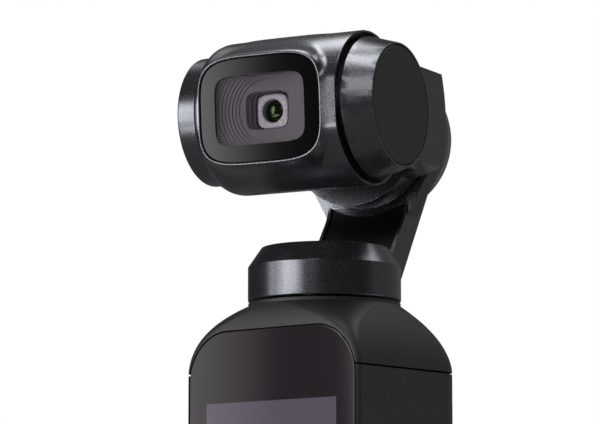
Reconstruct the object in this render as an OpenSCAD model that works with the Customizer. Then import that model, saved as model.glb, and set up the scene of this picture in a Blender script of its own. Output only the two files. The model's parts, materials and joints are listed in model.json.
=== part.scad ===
// Pocket camera on a three-axis gimbal, built as separate pieces. Millimetres, +Z up.
// The origin is the centre of the handle's flat base, and the screen side faces -Y.
// The gimbal stands in the pose of the photograph: panned and pitched by the two rest angles.

/* [Handle] */
// Width of the handle across the screen
handle_w = 28.6; // [27.6:0.1:30]
// Depth of the handle from the screen to the back
handle_d = 21.8; // [21.2:0.1:23]
// Height of the neck's top under the collar
handle_h = 88.2; // [84:0.1:100]
// Height of the shoulder cap, from the seam to the neck's top
shoulder_h = 9.3; // [8.9:0.1:9.8]
// Radius of the two crisp front corners
front_corner_r = 0.8; // [0.6:0.1:1.2]
// Radius of the two soft rear corners
rear_corner_r = 3.7; // [3:0.1:4.5]
// Radius of the neck
neck_r = 9.9; // [9.7:0.05:10.1]
// Height of the straight band at the top of the neck
neck_band = 0.4; // [0.3:0.05:0.6]
// Side and back wall of the shells
shell_wall = 1.3; // [1.1:0.05:1.4]
// Front wall, which carries the screen and the buttons
front_wall = 2.2; // [2.1:0.05:2.4]
// Height of the base cap
base_h = 3; // [2.6:0.1:3.2]
// Floor of the base cap
base_floor = 1.4; // [1.1:0.1:1.8]

/* [Screen] */
// Edge of the handle's front beside the cover glass
glass_side = 0.6; // [0.6:0.05:0.9]
// Distance from the neck's top down to the glass's upper edge
glass_drop = 3.9; // [3.7:0.05:4.2]
// Radius of the glass's upper corners
glass_corner_r = 6.4; // [5.8:0.1:6.6]
// Radius of the glass's lower corners
glass_foot_r = 1.2; // [0.8:0.1:2]
// Thickness of the cover glass
glass_t = 0.9; // [0.8:0.05:1]
// Thickness of the touch film behind the glass
film_t = 0.2; // [0.15:0.05:0.25]
// Border of the glass on each side of the square display
display_side = 3; // [2.9:0.1:3.4]
// Border of the glass above the display
display_drop = 9.2; // [9:0.1:9.8]
// Border of the glass below the display
display_foot = 3.1; // [2.9:0.1:3.6]
// Thickness of the display panel
display_t = 1; // [0.8:0.05:1.1]
// Thickness of the backlight
backlight_t = 0.8; // [0.6:0.05:0.9]

/* [Controls] */
// Width of the port's cover
port_w = 18.6; // [17:0.1:19]
// Height of the port's cover
port_h = 11.6; // [11:0.1:12]
// Thickness of the port's cover
port_cover_t = 1.8; // [1.6:0.05:1.9]
// Radius of the record button
record_r = 3.7; // [3.5:0.1:3.9]
// Radius of the function button
function_r = 3.3; // [3.1:0.1:3.5]
// Travel of both buttons
button_travel = 0.35; // [0.25:0.05:0.4]
// Radius of the status light
light_r = 0.45; // [0.35:0.05:0.6]

/* [Electronics] */
// Gap on each side of the battery cell
battery_gap = 1.2; // [1:0.1:2]
// Gap behind the battery cell
battery_back_gap = 0.4; // [0.2:0.1:1.2]
// Height of the battery cell
battery_h = 38; // [34:0.5:39]
// Thickness of the circuit boards
board_t = 0.8; // [0.6:0.05:1]
// Outer width of the charging socket
usb_w = 8.94; // [8.8:0.02:9.1]
// Outer thickness of the charging socket
usb_t = 3.26; // [3.16:0.02:3.4]
// Depth of the charging socket
usb_depth = 7.3; // [6.8:0.1:7.6]
// Width of the memory card
card_w = 11; // [10.8:0.1:11.2]
// Length of the memory card
card_l = 15; // [14.6:0.1:15.2]
// Thickness of the memory card
card_t = 0.8; // [0.7:0.05:0.9]

/* [Gimbal] */
// Turn of the gimbal about the handle, from facing the screen side
pan_rest = 10.75; // [-45:0.25:45]
// Downward pitch of the camera
tilt_rest = 3.7; // [-40:0.1:60]
// Radius of the collar's band
collar_r = 9.95; // [9.9:0.05:10.2]
// Height of the collar's band
collar_band = 4.45; // [4.3:0.05:4.6]
// Radius of the collar's flat top
collar_top_r = 8.2; // [8:0.05:8.4]
// Height of the collar's bevel
collar_bevel = 2.55; // [2.4:0.05:2.7]
// Height of the roll and tilt axes above the collar's foot
axis_rise = 23.45; // [23.3:0.05:24]
// Distance of the tilt axis in front of the pan axis
tilt_forward = 8; // [7.8:0.1:8.2]
// Width of the arm
arm_w = 12; // [11:0.1:12.4]
// Lean of the arm's front face from upright
arm_front_lean = 35.7; // [34:0.1:37]
// Lean of the arm's back face from upright
arm_back_lean = 33.2; // [32:0.1:34]
// Place of the arm's back face, level with the collar's band
arm_back_y = 10.75; // [10.5:0.05:10.9]
// Height where the arm's sides start to spread to the roll housing
arm_flare_z = 12.5; // [12:0.1:13]

/* [Roll motor] */
// Radius of the roll motor's housing
roll_housing_r = 10.65; // [10.5:0.05:10.9]
// Front face of the roll motor's housing
roll_housing_y = 12.2; // [12.1:0.05:12.4]
// Straight depth of the housing before its rear bevel
roll_housing_band = 2.8; // [2.6:0.1:3]
// Rear face of the roll motor's cover
roll_back_y = 19.9; // [19.7:0.1:20.2]
// Radius of the rotor on the bracket
roll_rotor_r = 9.75; // [9.6:0.05:10]
// Front face of the rotor on the bracket
roll_rotor_y = 8; // [7.8:0.05:8.2]

/* [Bracket] */
// Outer side of the bracket and of the tilt motor's cover
bracket_x = 15.35; // [15.2:0.05:15.6]
// Reach of the bracket's side above the tilt axis
bracket_up = 5.85; // [5.6:0.05:6.2]
// Reach of the bracket's side below the tilt axis
bracket_down = 6.45; // [6.2:0.05:6.6]
// Radius of the tilt motor's housing where it meets the camera
tilt_housing_r = 9.05; // [8.9:0.05:9.1]
// Radius of the tilt motor's housing at its outer face
tilt_face_r = 7.94; // [7.9:0.02:8.1]

/* [Camera] */
// Radius of the camera's barrel
barrel_r = 9.9; // [9.85:0.01:10]
// Right rim of the barrel
barrel_rim_x = 11.2; // [11:0.05:11.25]
// Left shoulder of the barrel
barrel_left_x = 10.3; // [10.1:0.1:10.4]
// Length of the rounded left shoulder
barrel_round = 2.8; // [2.4:0.1:3.2]
// Radius of the left end cap
end_cap_r = 8.4; // [8.3:0.02:8.6]
// Left face of the end cap
end_cap_x = 12.65; // [12.4:0.05:12.8]
// Wall of the camera's shells
camera_wall = 1.1; // [1:0.05:1.2]
// Width of the camera's window
window_w = 16.8; // [16.4:0.1:17]
// Height of the camera's window
window_h = 13; // [12.6:0.1:13.2]
// Front face of the window glass, ahead of the tilt axis
window_y = 8.75; // [8.7:0.01:8.85]
// Thickness of the window glass
window_t = 0.8; // [0.7:0.05:0.85]
// Width of the thin rim round the window
window_rim = 0.5; // [0.4:0.05:0.6]
// Step from the rim down to the window glass
window_step = 0.4; // [0.3:0.05:0.5]
// Side of the light ring round the lens
surround_size = 4.5; // [4.2:0.1:4.8]
// Radius of the lens opening
lens_open_r = 1.45; // [1.3:0.05:1.6]
// Depth of the lens ring behind the window's face
lens_depth = 2.95; // [2.8:0.05:3.1]

/* [Fits] */
// Gap between pieces that stay together
seat_gap = 0.1; // [0.08:0.01:0.12]
// Gap between the collar and the neck, and between rotor and housing
turn_gap = 0.3; // [0.25:0.01:0.35]
// Radial clearance of the motor shafts in their bearings
shaft_fit = 0.03; // [0.02:0.01:0.06]
// Radial clearance of the buttons in their holes
button_fit = 0.12; // [0.1:0.01:0.2]
// Width of the seam lines between the shells
seam_gap = 0.25; // [0.15:0.01:0.3]

/* [Hidden] */
$fn = 64;

// Overrun of every cut past the faces that it opens
overrun = 0.6;
// Thickness of the slices that a loft is drawn through, and their roundness
slice_t = 0.02;
loft_fn = 32;

// Handle: faces and levels
front_y = -handle_d / 2;
back_y = handle_d / 2;
cavity_front_y = front_y + front_wall;
cavity_half = handle_w / 2 - shell_wall;
inner_corner_r = 0.8;
neck_z = handle_h - neck_band;
seam_z = handle_h - shoulder_h;
cap_z = seam_z + seam_gap;
shell_foot_z = base_h + seam_gap;
base_chamfer = 0.5;
tongue_t = 0.8;
tongue_h = 1.2;

// Shoulder: how fast the sides, the brow and the corners draw in towards the neck
shoulder_power = 1.6;
brow_power = 5;
front_corner_power = 3;
rear_corner_power = 2.5;
shoulder_steps = 10;
shoulder_inset = 2.7;
cap_room_h = 4.4;
ledge_t = 1;

// Screen stack, from the front face inwards
glass_w = handle_w - 2 * glass_side;
display_size = glass_w - 2 * display_side;
glass_top_z = handle_h - glass_drop;
glass_foot_z = glass_top_z - display_drop - display_size - display_foot;
film_y = front_y + glass_t;
display_y = film_y + film_t;
backlight_y = display_y + display_t;
plate_y = backlight_y + backlight_t + seat_gap;
display_z = glass_top_z - display_drop - display_size;
glass_frame = 0.45;

// Heights of the controls, which share out the room between the base cap and the glass:
// light, function button, record button, port and glass, with the gap under each
gap_shares = [0.1775, 0.2134, 0.2398, 0.2926];
controls_room = glass_foot_z - shell_foot_z - 2 * (light_r + function_r + record_r) - port_h;
light_z = shell_foot_z + gap_shares[0] * controls_room + light_r;
function_z = light_z + light_r + gap_shares[1] * controls_room + function_r;
record_z = function_z + function_r + gap_shares[2] * controls_room + record_r;
port_z = record_z + record_r + gap_shares[3] * controls_room + port_h / 2;

// Inner frame and the boards that it carries
plate_t = 0.8;
rail_t = 0.65;
rail_gap = 0.15;
rail_x = cavity_half - rail_gap;
rail_depth = 9.3;
rail_y = plate_y + rail_depth;
rail_foot_z = base_h + plate_t;
plate_margin = 1;
plate_foot_z = port_z - port_h / 2 - plate_margin;
frame_top_z = seam_z - tongue_h - seat_gap;
bar_h = 1;
board_y = rail_y + seat_gap;
board_back_y = board_y + board_t;
board_half = rail_x - seat_gap;
board_foot_z = base_h + seam_gap;
board_top_z = frame_top_z - seat_gap;

// Screws of the inner frame
screw_r = 0.5;
screw_fit = 0.03;
screw_head_r = 0.95;
screw_head_t = 0.5;
screw_bite = 0.8;
boss_r = 1.2;
bar_y = plate_y + plate_t + screw_head_t + seat_gap;
frame_screw_inset = 2;
frame_screw_x = cavity_half - frame_screw_inset;
frame_screw_zs = [glass_foot_z + boss_r, frame_top_z - boss_r];

// Parts on the main board
battery_w = 2 * (cavity_half - battery_gap);
battery_y = board_back_y + seat_gap;
battery_t = back_y - shell_wall - battery_back_gap - battery_y;
battery_foot_z = base_h + boss_r;
shield_inset = 4;
shield_half = cavity_half - shield_inset;
shield_foot_z = battery_foot_z + battery_h + plate_t;
shield_drop = 10.6;
shield_h = frame_top_z - shield_drop - shield_foot_z;
shield_depth = 2;
shield_wall = 0.3;
chip_t = 1.1;
// Each chip: width, height, and its place on the shield's floor as shares of its size
chip_shares = [[0.55, 0.4, -0.15, 0.25], [0.4, 0.3, -0.22, -0.2], [0.28, 0.22, 0.25, -0.22]];
spreader_t = 0.6;
spreader_inset = 2;
spreader_half = cavity_half - spreader_inset;
spreader_margin = 1.5;

// Charging socket
usb_wall = 0.3;
usb_foot_z = 0.3;
usb_y = board_y - usb_t / 2;
usb_slot_fit = 0.1;
tongue_plate_w = 6.7;
tongue_plate_t = 0.7;
tongue_plate_l = 4.6;

// Memory card and its socket
card_drop = 17.6;
card_z = frame_top_z - card_drop;
card_recess = 0.35;
card_fit = 0.12;
card_socket_wall = 0.35;
card_travel_room = 0.5;
card_y = board_y - card_socket_wall - card_fit - card_t / 2;
card_socket_w = card_w + 2 * (card_fit + card_socket_wall);
card_socket_t = card_t + 2 * (card_fit + card_socket_wall);
card_corner = 1.2;

// Grip grooves on both sides of the handle, as many as fit under the card's slot
groove_pitch = 1.5;
groove_w = 0.7;
groove_depth = 0.28;
groove_foot_z = 18.5;
groove_len = 12.6;
groove_margin = 8.8;
groove_count = floor((card_z - card_w / 2 - groove_margin - groove_foot_z) / groove_pitch);

// Accessory port
port_fit = 0.15;
contact_base_t = 0.65;
contact_base_w = 14;
contact_base_h = 7;
contact_count = 5;
contact_pitch = 2.2;
contact_w = 1.2;
contact_h = 2.1;
contact_t = 0.25;
cover_rib_count = 5;
cover_rib_pitch = 1.5;
cover_rib_w = 0.6;
cover_rib_depth = 0.35;
cover_rib_margin = 2.2;

// Buttons, their board and the status light
button_step = 0.1;
flange_lip = 0.6;
flange_t = 0.45;
stem_r = 0.9;
switch_side = 4;
switch_t = 1;
plunger_r = 0.8;
plunger_t = 0.4;
press_gap = 0.04;
button_inner_y = cavity_front_y + seat_gap + flange_t;
stem_l = 1.15;
plunger_y = button_inner_y + stem_l + button_travel + press_gap;
button_board_y = plunger_y + plunger_t + switch_t;
button_board_foot_z = rail_foot_z + seat_gap;
button_board_drop = 1.9;
button_board_top_z = plate_foot_z - button_board_drop;
mark_r = 1.15;
mark_t = 0.25;
mark_proud = 0.05;
dish_depth = 0.12;
light_step = 0.05;
light_fit = 0.05;
light_body = 1.6;
light_body_t = 0.7;
mic_x = 4;
mic_w = 2.6;
mic_h = 1.8;
mic_t = 1;
mic_hole_r = 0.35;
base_mic_x = 7.6;

// Motors: bearings, shafts, stator teeth and magnets
shaft_r = 1.2;
post_wall = 0.8;
bearing_r = 3;
bearing_h = 1.2;
bearing_fit = 0.02;
post_r = bearing_r + post_wall;
core_fit = 0.05;
core_ring = 1.2;
tooth_count = 9;
tooth_w = 1;
coil_w = 0.65;
coil_gap = 0.06;
coil_inset = 0.5;
magnet_count = 12;
magnet_slot = 0.25;
magnet_t = 0.55;
magnet_fit = 0.03;
skirt_t = 0.75;
air_gap = 0.25;

// Pan motor, in the neck and under the collar
collar_z = handle_h + turn_gap;
collar_top = collar_band + collar_bevel;
ledge_z = cap_z + cap_room_h;
flange_z = ledge_z + ledge_t;
pan_bore_r = neck_r - shell_wall;
ledge_hole_r = pan_bore_r - 1.4 * ledge_t;
pan_rotor_r = collar_r - shell_wall - seat_gap;
pan_plate_t = 0.8;
pan_plate_z = 4.9;
pan_skirt_z = turn_gap;
pan_core_z = 0.9;
pan_core_h = 3;
pan_tip_r = pan_rotor_r - skirt_t - magnet_fit - magnet_t - air_gap;
pan_post_top = pan_plate_z - turn_gap;
pan_shaft_foot = -4.2;
collar_inner_r = pan_rotor_r + seat_gap;
collar_room = pan_plate_z + pan_plate_t + seat_gap;
collar_edge = 0.15;

// Arm, with heights counted from the collar's foot
arm_front_y = 7.7;
arm_throat_r = 4.6;
arm_throat_steps = 8;
arm_foot_y = 4.2;
arm_edge = 0.45;
arm_tip_y = sqrt(collar_r * collar_r - arm_w * arm_w / 4) - arm_edge / 2;
arm_tip_z = 0.35;
arm_recess = 1;
arm_recess_z = collar_top + arm_edge;
arm_cover_step = 0.3;
arm_cover_t = 0.55;
arm_flex_t = 0.12;
arm_flex_w = 6.4;
arm_screw_x = 3.4;
arm_screw_y = 6;

// Roll motor, with depths counted along the roll axis
roll_skirt_r = 8.6;
roll_room_r = roll_housing_r - 0.9 * shell_wall + 0.6 * turn_gap;
roll_band_y = roll_housing_y + roll_housing_band;
roll_end_y = 18.4;
roll_end_r = 9.5;
roll_web_y = 17.4;
roll_web_t = 0.8;
roll_post_y = 12.9;
roll_core_y = 13.3;
roll_core_h = 3.2;
roll_tip_r = roll_skirt_r - skirt_t - magnet_fit - magnet_t - air_gap;
roll_cover_gap = 0.08;
roll_cover_edge = 0.6;

// Bracket, with its plan in the plane of the roll and tilt axes
rotor_plate_t = 1.2;
rotor_wall = 0.8;
leg_inner_x = 6.5;
elbow_x = barrel_rim_x + turn_gap;
elbow_y = 3.9;
cone_y = 4.84;
cone_slope = 1.066;
cone_reach = 1.6;

// Tilt motor in the bracket's side, with distances counted along the tilt axis
tilt_room_r = 7.3;
tilt_web_t = 0.8;
tilt_cover_t = 0.6;
tilt_cover_gap = 0.06;
tilt_cover_rim = 0.24;
tilt_shaft_r = 1;
tilt_bearing_r = 2.4;
tilt_bearing_h = 1;
tilt_post_r = 3.2;
tilt_plate_x = 9.6;
tilt_plate_t = 1;
tilt_skirt_r = 7;
tilt_skirt_t = 0.4;
tilt_skirt_l = 2.9;
tilt_core_x = elbow_x + 0.7 * turn_gap;
tilt_core_h = 1.8;
tilt_magnet_t = 0.45;
tilt_magnet_l = 2;
tilt_tip_r = tilt_skirt_r - tilt_skirt_t - magnet_fit - tilt_magnet_t - air_gap;
tilt_face_x = bracket_x - tilt_cover_t;
tilt_web_x = tilt_face_x - tilt_web_t;

// Camera, with places counted from the tilt axis
barrel_inner_r = barrel_r - camera_wall;
rim_inner_r = barrel_r - 0.45 * camera_wall;
rim_depth = 0.5;
round_steps = 8;
round_end_r = 8;
parting_gap = 0.12;
parting_notch = 0.5;
squareness = 4.2;
outline_steps = 72;
snout_back_y = 3.5;
snout_side = 0.6;
snout_back_w = 2 * (barrel_left_x - snout_side);
snout_step = 0.7;
snout_back_h = 2 * (barrel_r - snout_step);
glass_fit = 0.08;
baffle_w = window_w - 1.1 * camera_wall;
baffle_h = window_h - 1.1 * camera_wall;
baffle_view_w = 12.6;
baffle_view_h = 8.6;
baffle_tray = 0.25;
baffle_depth = 5.4;
ring_count = 8;
ring_first_r = 6.4;
ring_pitch = 0.36;
ring_drop = 0.2;
lens_well_w = 6.4;
lens_well_h = 5.4;
well_shift = 0.6;
magnet_r = 0.6;
magnet_h = 1.2;
magnet_inset = 1.35;
magnet_x = window_w / 2 - magnet_inset;
magnet_z = 2.4;
surround_t = 1.5;
surround_front = window_y - lens_depth;
surround_square = 4;
barrel_front = surround_front - surround_t;
barrel_back = -2.5;
lens_barrel_r = 3.3;
lens_bore_r = 2.5;
lens_fit = 0.02;
front_lens_t = 0.9;
front_lens_back = 0.5;
lens_dome = 0.35;
element_t = 1.1;
element_gap = 0.5;
element_count = 3;
sensor_w = 9;
sensor_h = 7;
sensor_t = 0.8;
sensor_board_w = 13;
sensor_board_h = 11;
camera_board_t = 0.8;

// Placement helpers
module along_y() {
    rotate([-90, 0, 0]) children();
}
module along_x() {
    rotate([0, 90, 0]) children();
}
// The frame of the collar, turned with the gimbal and counted from the collar's foot
module at_pan() {
    translate([0, 0, collar_z]) rotate([0, 0, pan_rest]) children();
}
// The frame of the roll axis, which runs along Y
module at_head() {
    at_pan() translate([0, 0, axis_rise]) children();
}
// The frame of the tilt axis on the bracket, which runs along X
module at_tilt() {
    at_head() translate([0, -tilt_forward, 0]) children();
}
// The frame of the camera itself, pitched about the tilt axis
module at_camera() {
    at_tilt() rotate([tilt_rest, 0, 0]) children();
}
// An outline in X and Z, given depth from y0 to y1
module upright(y0, y1) {
    translate([0, y1, 0]) rotate([90, 0, 0]) linear_extrude(y1 - y0) children();
}
module front_box(w, h, z, y0, y1) {
    translate([-w / 2, y0, z - h / 2]) cube([w, y1 - y0, h]);
}
module front_bore(r, x, z, y0, y1) {
    translate([x, y0, z]) along_y() cylinder(r = r, h = y1 - y0);
}

// Outline of the handle, drawn in by given amounts, with its own front and rear corners
module body_outline(side, front, back, front_r, rear_r) {
    w = handle_w / 2 - side;
    f = front_y + front;
    b = back_y - back;
    translate([-w, f + front_r]) square([2 * w, b - f - front_r - rear_r]);
    translate([front_r - w, f]) square([2 * (w - front_r), b - f - rear_r]);
    translate([rear_r - w, f + front_r]) square([2 * (w - rear_r), b - f - front_r]);
    for (s = [-1, 1]) {
        translate([s * (w - front_r), f + front_r]) circle(front_r);
        translate([s * (w - rear_r), b - rear_r]) circle(rear_r);
    }
}
module body_prism(z0, z1) {
    translate([0, 0, z0]) linear_extrude(z1 - z0)
        body_outline(0, 0, 0, front_corner_r, rear_corner_r);
}
module cavity_prism(z0, z1, extra) {
    translate([0, 0, z0]) linear_extrude(z1 - z0)
        body_outline(shell_wall + extra, front_wall + extra, shell_wall + extra,
            inner_corner_r, rear_corner_r - shell_wall);
}
// Outline of the cover glass in X and Z, grown by a given amount
module glass_outline(grow) {
    w = glass_w / 2 + grow;
    top = glass_top_z + grow;
    foot = glass_foot_z - grow;
    rt = glass_corner_r + grow;
    rf = glass_foot_r + grow;
    translate([-w, foot + rf]) square([2 * w, top - foot - rt - rf]);
    translate([rt - w, foot + rf]) square([2 * (w - rt), top - foot - rf]);
    translate([rf - w, foot]) square([2 * (w - rf), top - foot - rt]);
    for (s = [-1, 1]) {
        translate([s * (w - rt), top - rt]) circle(rt);
        translate([s * (w - rf), foot + rf]) circle(rf);
    }
}
// Points of a squared oval
function oval(w, h, power) = [
    for (i = [0:outline_steps - 1])
        let (a = 360 * i / outline_steps, c = cos(a), s = sin(a))
        [w / 2 * sign(c) * pow(abs(c), 2 / power), h / 2 * sign(s) * pow(abs(s), 2 / power)]
];
// A squared oval in the camera's X and Z, from depth y0 back to depth y1
module oval_block(w, h, y0, y1, power = squareness) {
    upright(y0, y1) polygon(oval(w, h, power));
}

// Handle shells
module shoulder_slice(share) {
    draw = 1 - pow(share, shoulder_power);
    w = neck_r + (handle_w / 2 - neck_r) * draw;
    b = neck_r + (back_y - neck_r) * draw;
    f = neck_r + (back_y - neck_r) * (1 - pow(share, brow_power));
    front_r = front_corner_r + (neck_r - front_corner_r) * pow(share, front_corner_power);
    rear_r = rear_corner_r + (neck_r - rear_corner_r) * pow(share, rear_corner_power);
    z = cap_z + (neck_z - slice_t - cap_z) * share;
    for (s = [-1, 1]) {
        translate([s * (w - front_r), front_r - f, z])
            cylinder(r = front_r, h = slice_t, $fn = loft_fn);
        translate([s * (w - rear_r), b - rear_r, z])
            cylinder(r = rear_r, h = slice_t, $fn = loft_fn);
    }
}
module top_cap() {
    color("#2b2b2d") difference() {
        union() {
            hull() for (i = [0:shoulder_steps]) shoulder_slice(i / shoulder_steps);
            translate([0, 0, neck_z - slice_t]) cylinder(r = neck_r, h = neck_band + slice_t);
            difference() {
                cavity_prism(seam_z - tongue_h, cap_z + slice_t, seat_gap);
                cavity_prism(seam_z - tongue_h - overrun, cap_z + slice_t, tongue_t + seat_gap);
            }
        }
        translate([0, 0, cap_z - overrun]) linear_extrude(ledge_z - cap_z + overrun)
            body_outline(shoulder_inset, front_wall, shell_wall + seat_gap, inner_corner_r,
                rear_corner_r);
        translate([0, 0, ledge_z - overrun]) cylinder(r = ledge_hole_r, h = handle_h - ledge_z);
        translate([0, 0, flange_z]) cylinder(r = pan_bore_r, h = handle_h - flange_z + overrun);
        upright(front_y - overrun, display_y) glass_outline(seat_gap);
    }
}
module grip_grooves() {
    for (s = [-1, 1], i = [0:groove_count - 1])
        translate([s * (handle_w / 2 + overrun - groove_depth) - overrun, -groove_len / 2,
            groove_foot_z + i * groove_pitch])
            cube([2 * overrun, groove_len, groove_w]);
}
module handle_shell() {
    color("#2b2b2d") difference() {
        body_prism(shell_foot_z, seam_z);
        cavity_prism(shell_foot_z - overrun, seam_z + overrun, 0);
        upright(front_y - overrun, display_y) glass_outline(seat_gap);
        front_box(display_size + glass_frame, display_size + glass_frame,
            display_z + display_size / 2, front_y, cavity_front_y + overrun);
        front_box(port_w + 2 * port_fit, port_h + 2 * port_fit, port_z, front_y - overrun,
            cavity_front_y + overrun);
        front_bore(record_r + button_fit, 0, record_z, front_y - overrun,
            cavity_front_y + overrun);
        front_bore(function_r + button_fit, 0, function_z, front_y - overrun,
            cavity_front_y + overrun);
        front_bore(light_r + light_fit, 0, light_z, front_y - overrun, cavity_front_y + overrun);
        front_bore(mic_hole_r, mic_x, light_z, front_y - overrun, cavity_front_y + overrun);
        for (s = [-1, 1], z = frame_screw_zs)
            front_bore(screw_r + screw_fit, s * frame_screw_x, z, cavity_front_y - screw_bite,
                cavity_front_y + overrun);
        translate([-handle_w / 2 - overrun, card_y - card_t / 2 - card_fit,
            card_z - card_w / 2 - card_fit])
            cube([shell_wall + 2 * overrun, card_t + 2 * card_fit, card_w + 2 * card_fit]);
        grip_grooves();
    }
}
module usb_outline(inset) {
    r = usb_t / 2 - inset;
    square([usb_w - usb_t, 2 * r], center = true);
    for (s = [-1, 1]) translate([s * (usb_w - usb_t) / 2, 0]) circle(r);
}
module base_cap() {
    color("#2b2b2d") difference() {
        union() {
            translate([0, 0, base_chamfer]) body_prism(0, base_h - base_chamfer);
            linear_extrude(base_chamfer)
                body_outline(base_chamfer, base_chamfer, base_chamfer, inner_corner_r,
                    rear_corner_r - base_chamfer);
        }
        cavity_prism(base_floor, base_h + overrun, 0);
        translate([0, usb_y, -overrun]) linear_extrude(base_h + 2 * overrun)
            usb_outline(-usb_slot_fit);
        translate([base_mic_x, board_y - mic_t / 2, -overrun])
            cylinder(r = mic_hole_r, h = base_h + overrun);
    }
}

// Screen
module screen_glass() {
    color("#241f24") upright(front_y, film_y) glass_outline(0);
}
module touch_film() {
    color("#1c181c") difference() {
        upright(film_y, display_y) glass_outline(0);
        front_box(display_size, display_size, display_z + display_size / 2, film_y - overrun,
            display_y + overrun);
    }
}
module display_panel() {
    color("#5c5462") front_box(display_size, display_size, display_z + display_size / 2,
        display_y, backlight_y);
}
module display_backlight() {
    color("#d8d8d8") front_box(display_size, display_size, display_z + display_size / 2,
        backlight_y, backlight_y + backlight_t);
}

// Inside the handle
module inner_frame() {
    color("#8a8c90") difference() {
        union() {
            translate([-rail_x, plate_y, plate_foot_z])
                cube([2 * rail_x, plate_t, frame_top_z - plate_foot_z]);
            for (s = [-1, 1])
                translate([s * (rail_x - rail_t / 2) - rail_t / 2, plate_y, rail_foot_z])
                    cube([rail_t, rail_depth, frame_top_z - rail_foot_z]);
            translate([-rail_x, bar_y, frame_top_z - bar_h])
                cube([2 * rail_x, rail_y - bar_y, bar_h]);
            for (s = [-1, 1], z = frame_screw_zs)
                front_bore(boss_r, s * frame_screw_x, z, cavity_front_y, plate_y + plate_t);
        }
        for (s = [-1, 1], z = frame_screw_zs)
            front_bore(screw_r + screw_fit, s * frame_screw_x, z, cavity_front_y - overrun,
                plate_y + plate_t + overrun);
        translate([-rail_x - overrun, card_y - card_socket_t / 2 - seat_gap,
            card_z - card_socket_w / 2 - seat_gap])
            cube([2 * overrun + rail_t, card_socket_t + overrun, card_socket_w + 2 * seat_gap]);
    }
}
module frame_screws() {
    color("#55565a") for (s = [-1, 1], z = frame_screw_zs) {
        front_bore(screw_r, s * frame_screw_x, z, cavity_front_y - 0.9 * screw_bite,
            plate_y + plate_t + slice_t);
        front_bore(screw_head_r, s * frame_screw_x, z, plate_y + plate_t,
            plate_y + plate_t + screw_head_t);
    }
}
module battery_cell() {
    color("#3d4f5c") translate([-battery_w / 2, battery_y, battery_foot_z])
        cube([battery_w, battery_t, battery_h]);
}
module main_board() {
    color("#1f5a3c") translate([-board_half, board_y, board_foot_z])
        cube([2 * board_half, board_t, board_top_z - board_foot_z]);
}
module board_chips() {
    color("#222326") for (c = chip_shares)
        translate([c[2] * 2 * shield_half - c[0] * shield_half, board_back_y,
            shield_foot_z + shield_h * (0.5 + c[3] - c[1] / 2)])
            cube([c[0] * 2 * shield_half, chip_t, c[1] * shield_h]);
}
module shield_can() {
    color("#b9bbbf") difference() {
        translate([-shield_half, board_back_y, shield_foot_z])
            cube([2 * shield_half, shield_depth, shield_h]);
        translate([shield_wall - shield_half, board_back_y - overrun,
            shield_foot_z + shield_wall])
            cube([2 * (shield_half - shield_wall), shield_depth - shield_wall + overrun,
                shield_h - 2 * shield_wall]);
    }
}
module heat_spreader() {
    color("#a9693f") translate([-spreader_half, board_back_y + shield_depth + seat_gap,
        shield_foot_z - spreader_margin / 3])
        cube([2 * spreader_half, spreader_t, shield_h + spreader_margin]);
}
module usb_socket() {
    color("#c9cbce") translate([0, usb_y, usb_foot_z]) {
        difference() {
            linear_extrude(usb_depth) usb_outline(0);
            translate([0, 0, -overrun]) linear_extrude(usb_depth - usb_wall + overrun)
                usb_outline(usb_wall);
        }
        translate([-tongue_plate_w / 2, -tongue_plate_t / 2, usb_depth - usb_wall - tongue_plate_l])
            cube([tongue_plate_w, tongue_plate_t, tongue_plate_l + slice_t]);
    }
}
module card_socket() {
    room = card_l - (handle_w / 2 - card_recess - rail_x) + card_travel_room;
    color("#b9bbbf") difference() {
        translate([-rail_x, card_y - card_socket_t / 2, card_z - card_socket_w / 2])
            cube([room + card_socket_wall, card_socket_t, card_socket_w]);
        translate([-rail_x - overrun, card_y - card_t / 2 - card_fit,
            card_z - card_w / 2 - card_fit])
            cube([room + overrun, card_t + 2 * card_fit, card_w + 2 * card_fit]);
    }
}
module memory_card() {
    x0 = -handle_w / 2 + card_recess;
    color("#17181a") translate([x0, card_y + card_t / 2, card_z]) rotate([90, 0, 0])
        linear_extrude(card_t) polygon([
            [0, -card_w / 2], [card_l - card_corner, -card_w / 2],
            [card_l, card_corner - card_w / 2], [card_l, card_w / 2], [0, card_w / 2]
        ]);
}
module port_contacts() {
    y0 = plate_y - seat_gap / 2 - contact_base_t;
    color("#c9a24a") {
        front_box(contact_base_w, contact_base_h, port_z, y0, y0 + contact_base_t);
        for (i = [0:contact_count - 1], s = [-1, 1])
            translate([(i - (contact_count - 1) / 2) * contact_pitch - contact_w / 2,
                y0 - contact_t, port_z + s * contact_h * 0.75 - contact_h / 2])
                cube([contact_w, contact_t + slice_t, contact_h]);
    }
}
module port_cover() {
    color("#242426") difference() {
        front_box(port_w, port_h, port_z, front_y, front_y + port_cover_t);
        for (i = [0:cover_rib_count - 1])
            front_box(port_w - 2 * cover_rib_margin, cover_rib_w,
                port_z + (i - (cover_rib_count - 1) / 2) * cover_rib_pitch,
                front_y - overrun, front_y + cover_rib_depth);
    }
}
module button_board() {
    color("#1f5a3c") translate([-board_half + rail_t, button_board_y, button_board_foot_z])
        cube([2 * (board_half - rail_t), board_t, button_board_top_z - button_board_foot_z]);
}
module button_switches() {
    color("#cfd1d4") for (z = [record_z, function_z]) {
        front_box(switch_side, switch_side, z, plunger_y + plunger_t, button_board_y);
        front_bore(plunger_r, 0, z, plunger_y, plunger_y + plunger_t + slice_t);
    }
}
module button_solid(r, z) {
    front_bore(r, 0, z, front_y + button_step, button_inner_y);
    front_bore(r + flange_lip, 0, z, button_inner_y - flange_t, button_inner_y);
    front_bore(stem_r, 0, z, button_inner_y - slice_t, button_inner_y + stem_l);
}
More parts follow.
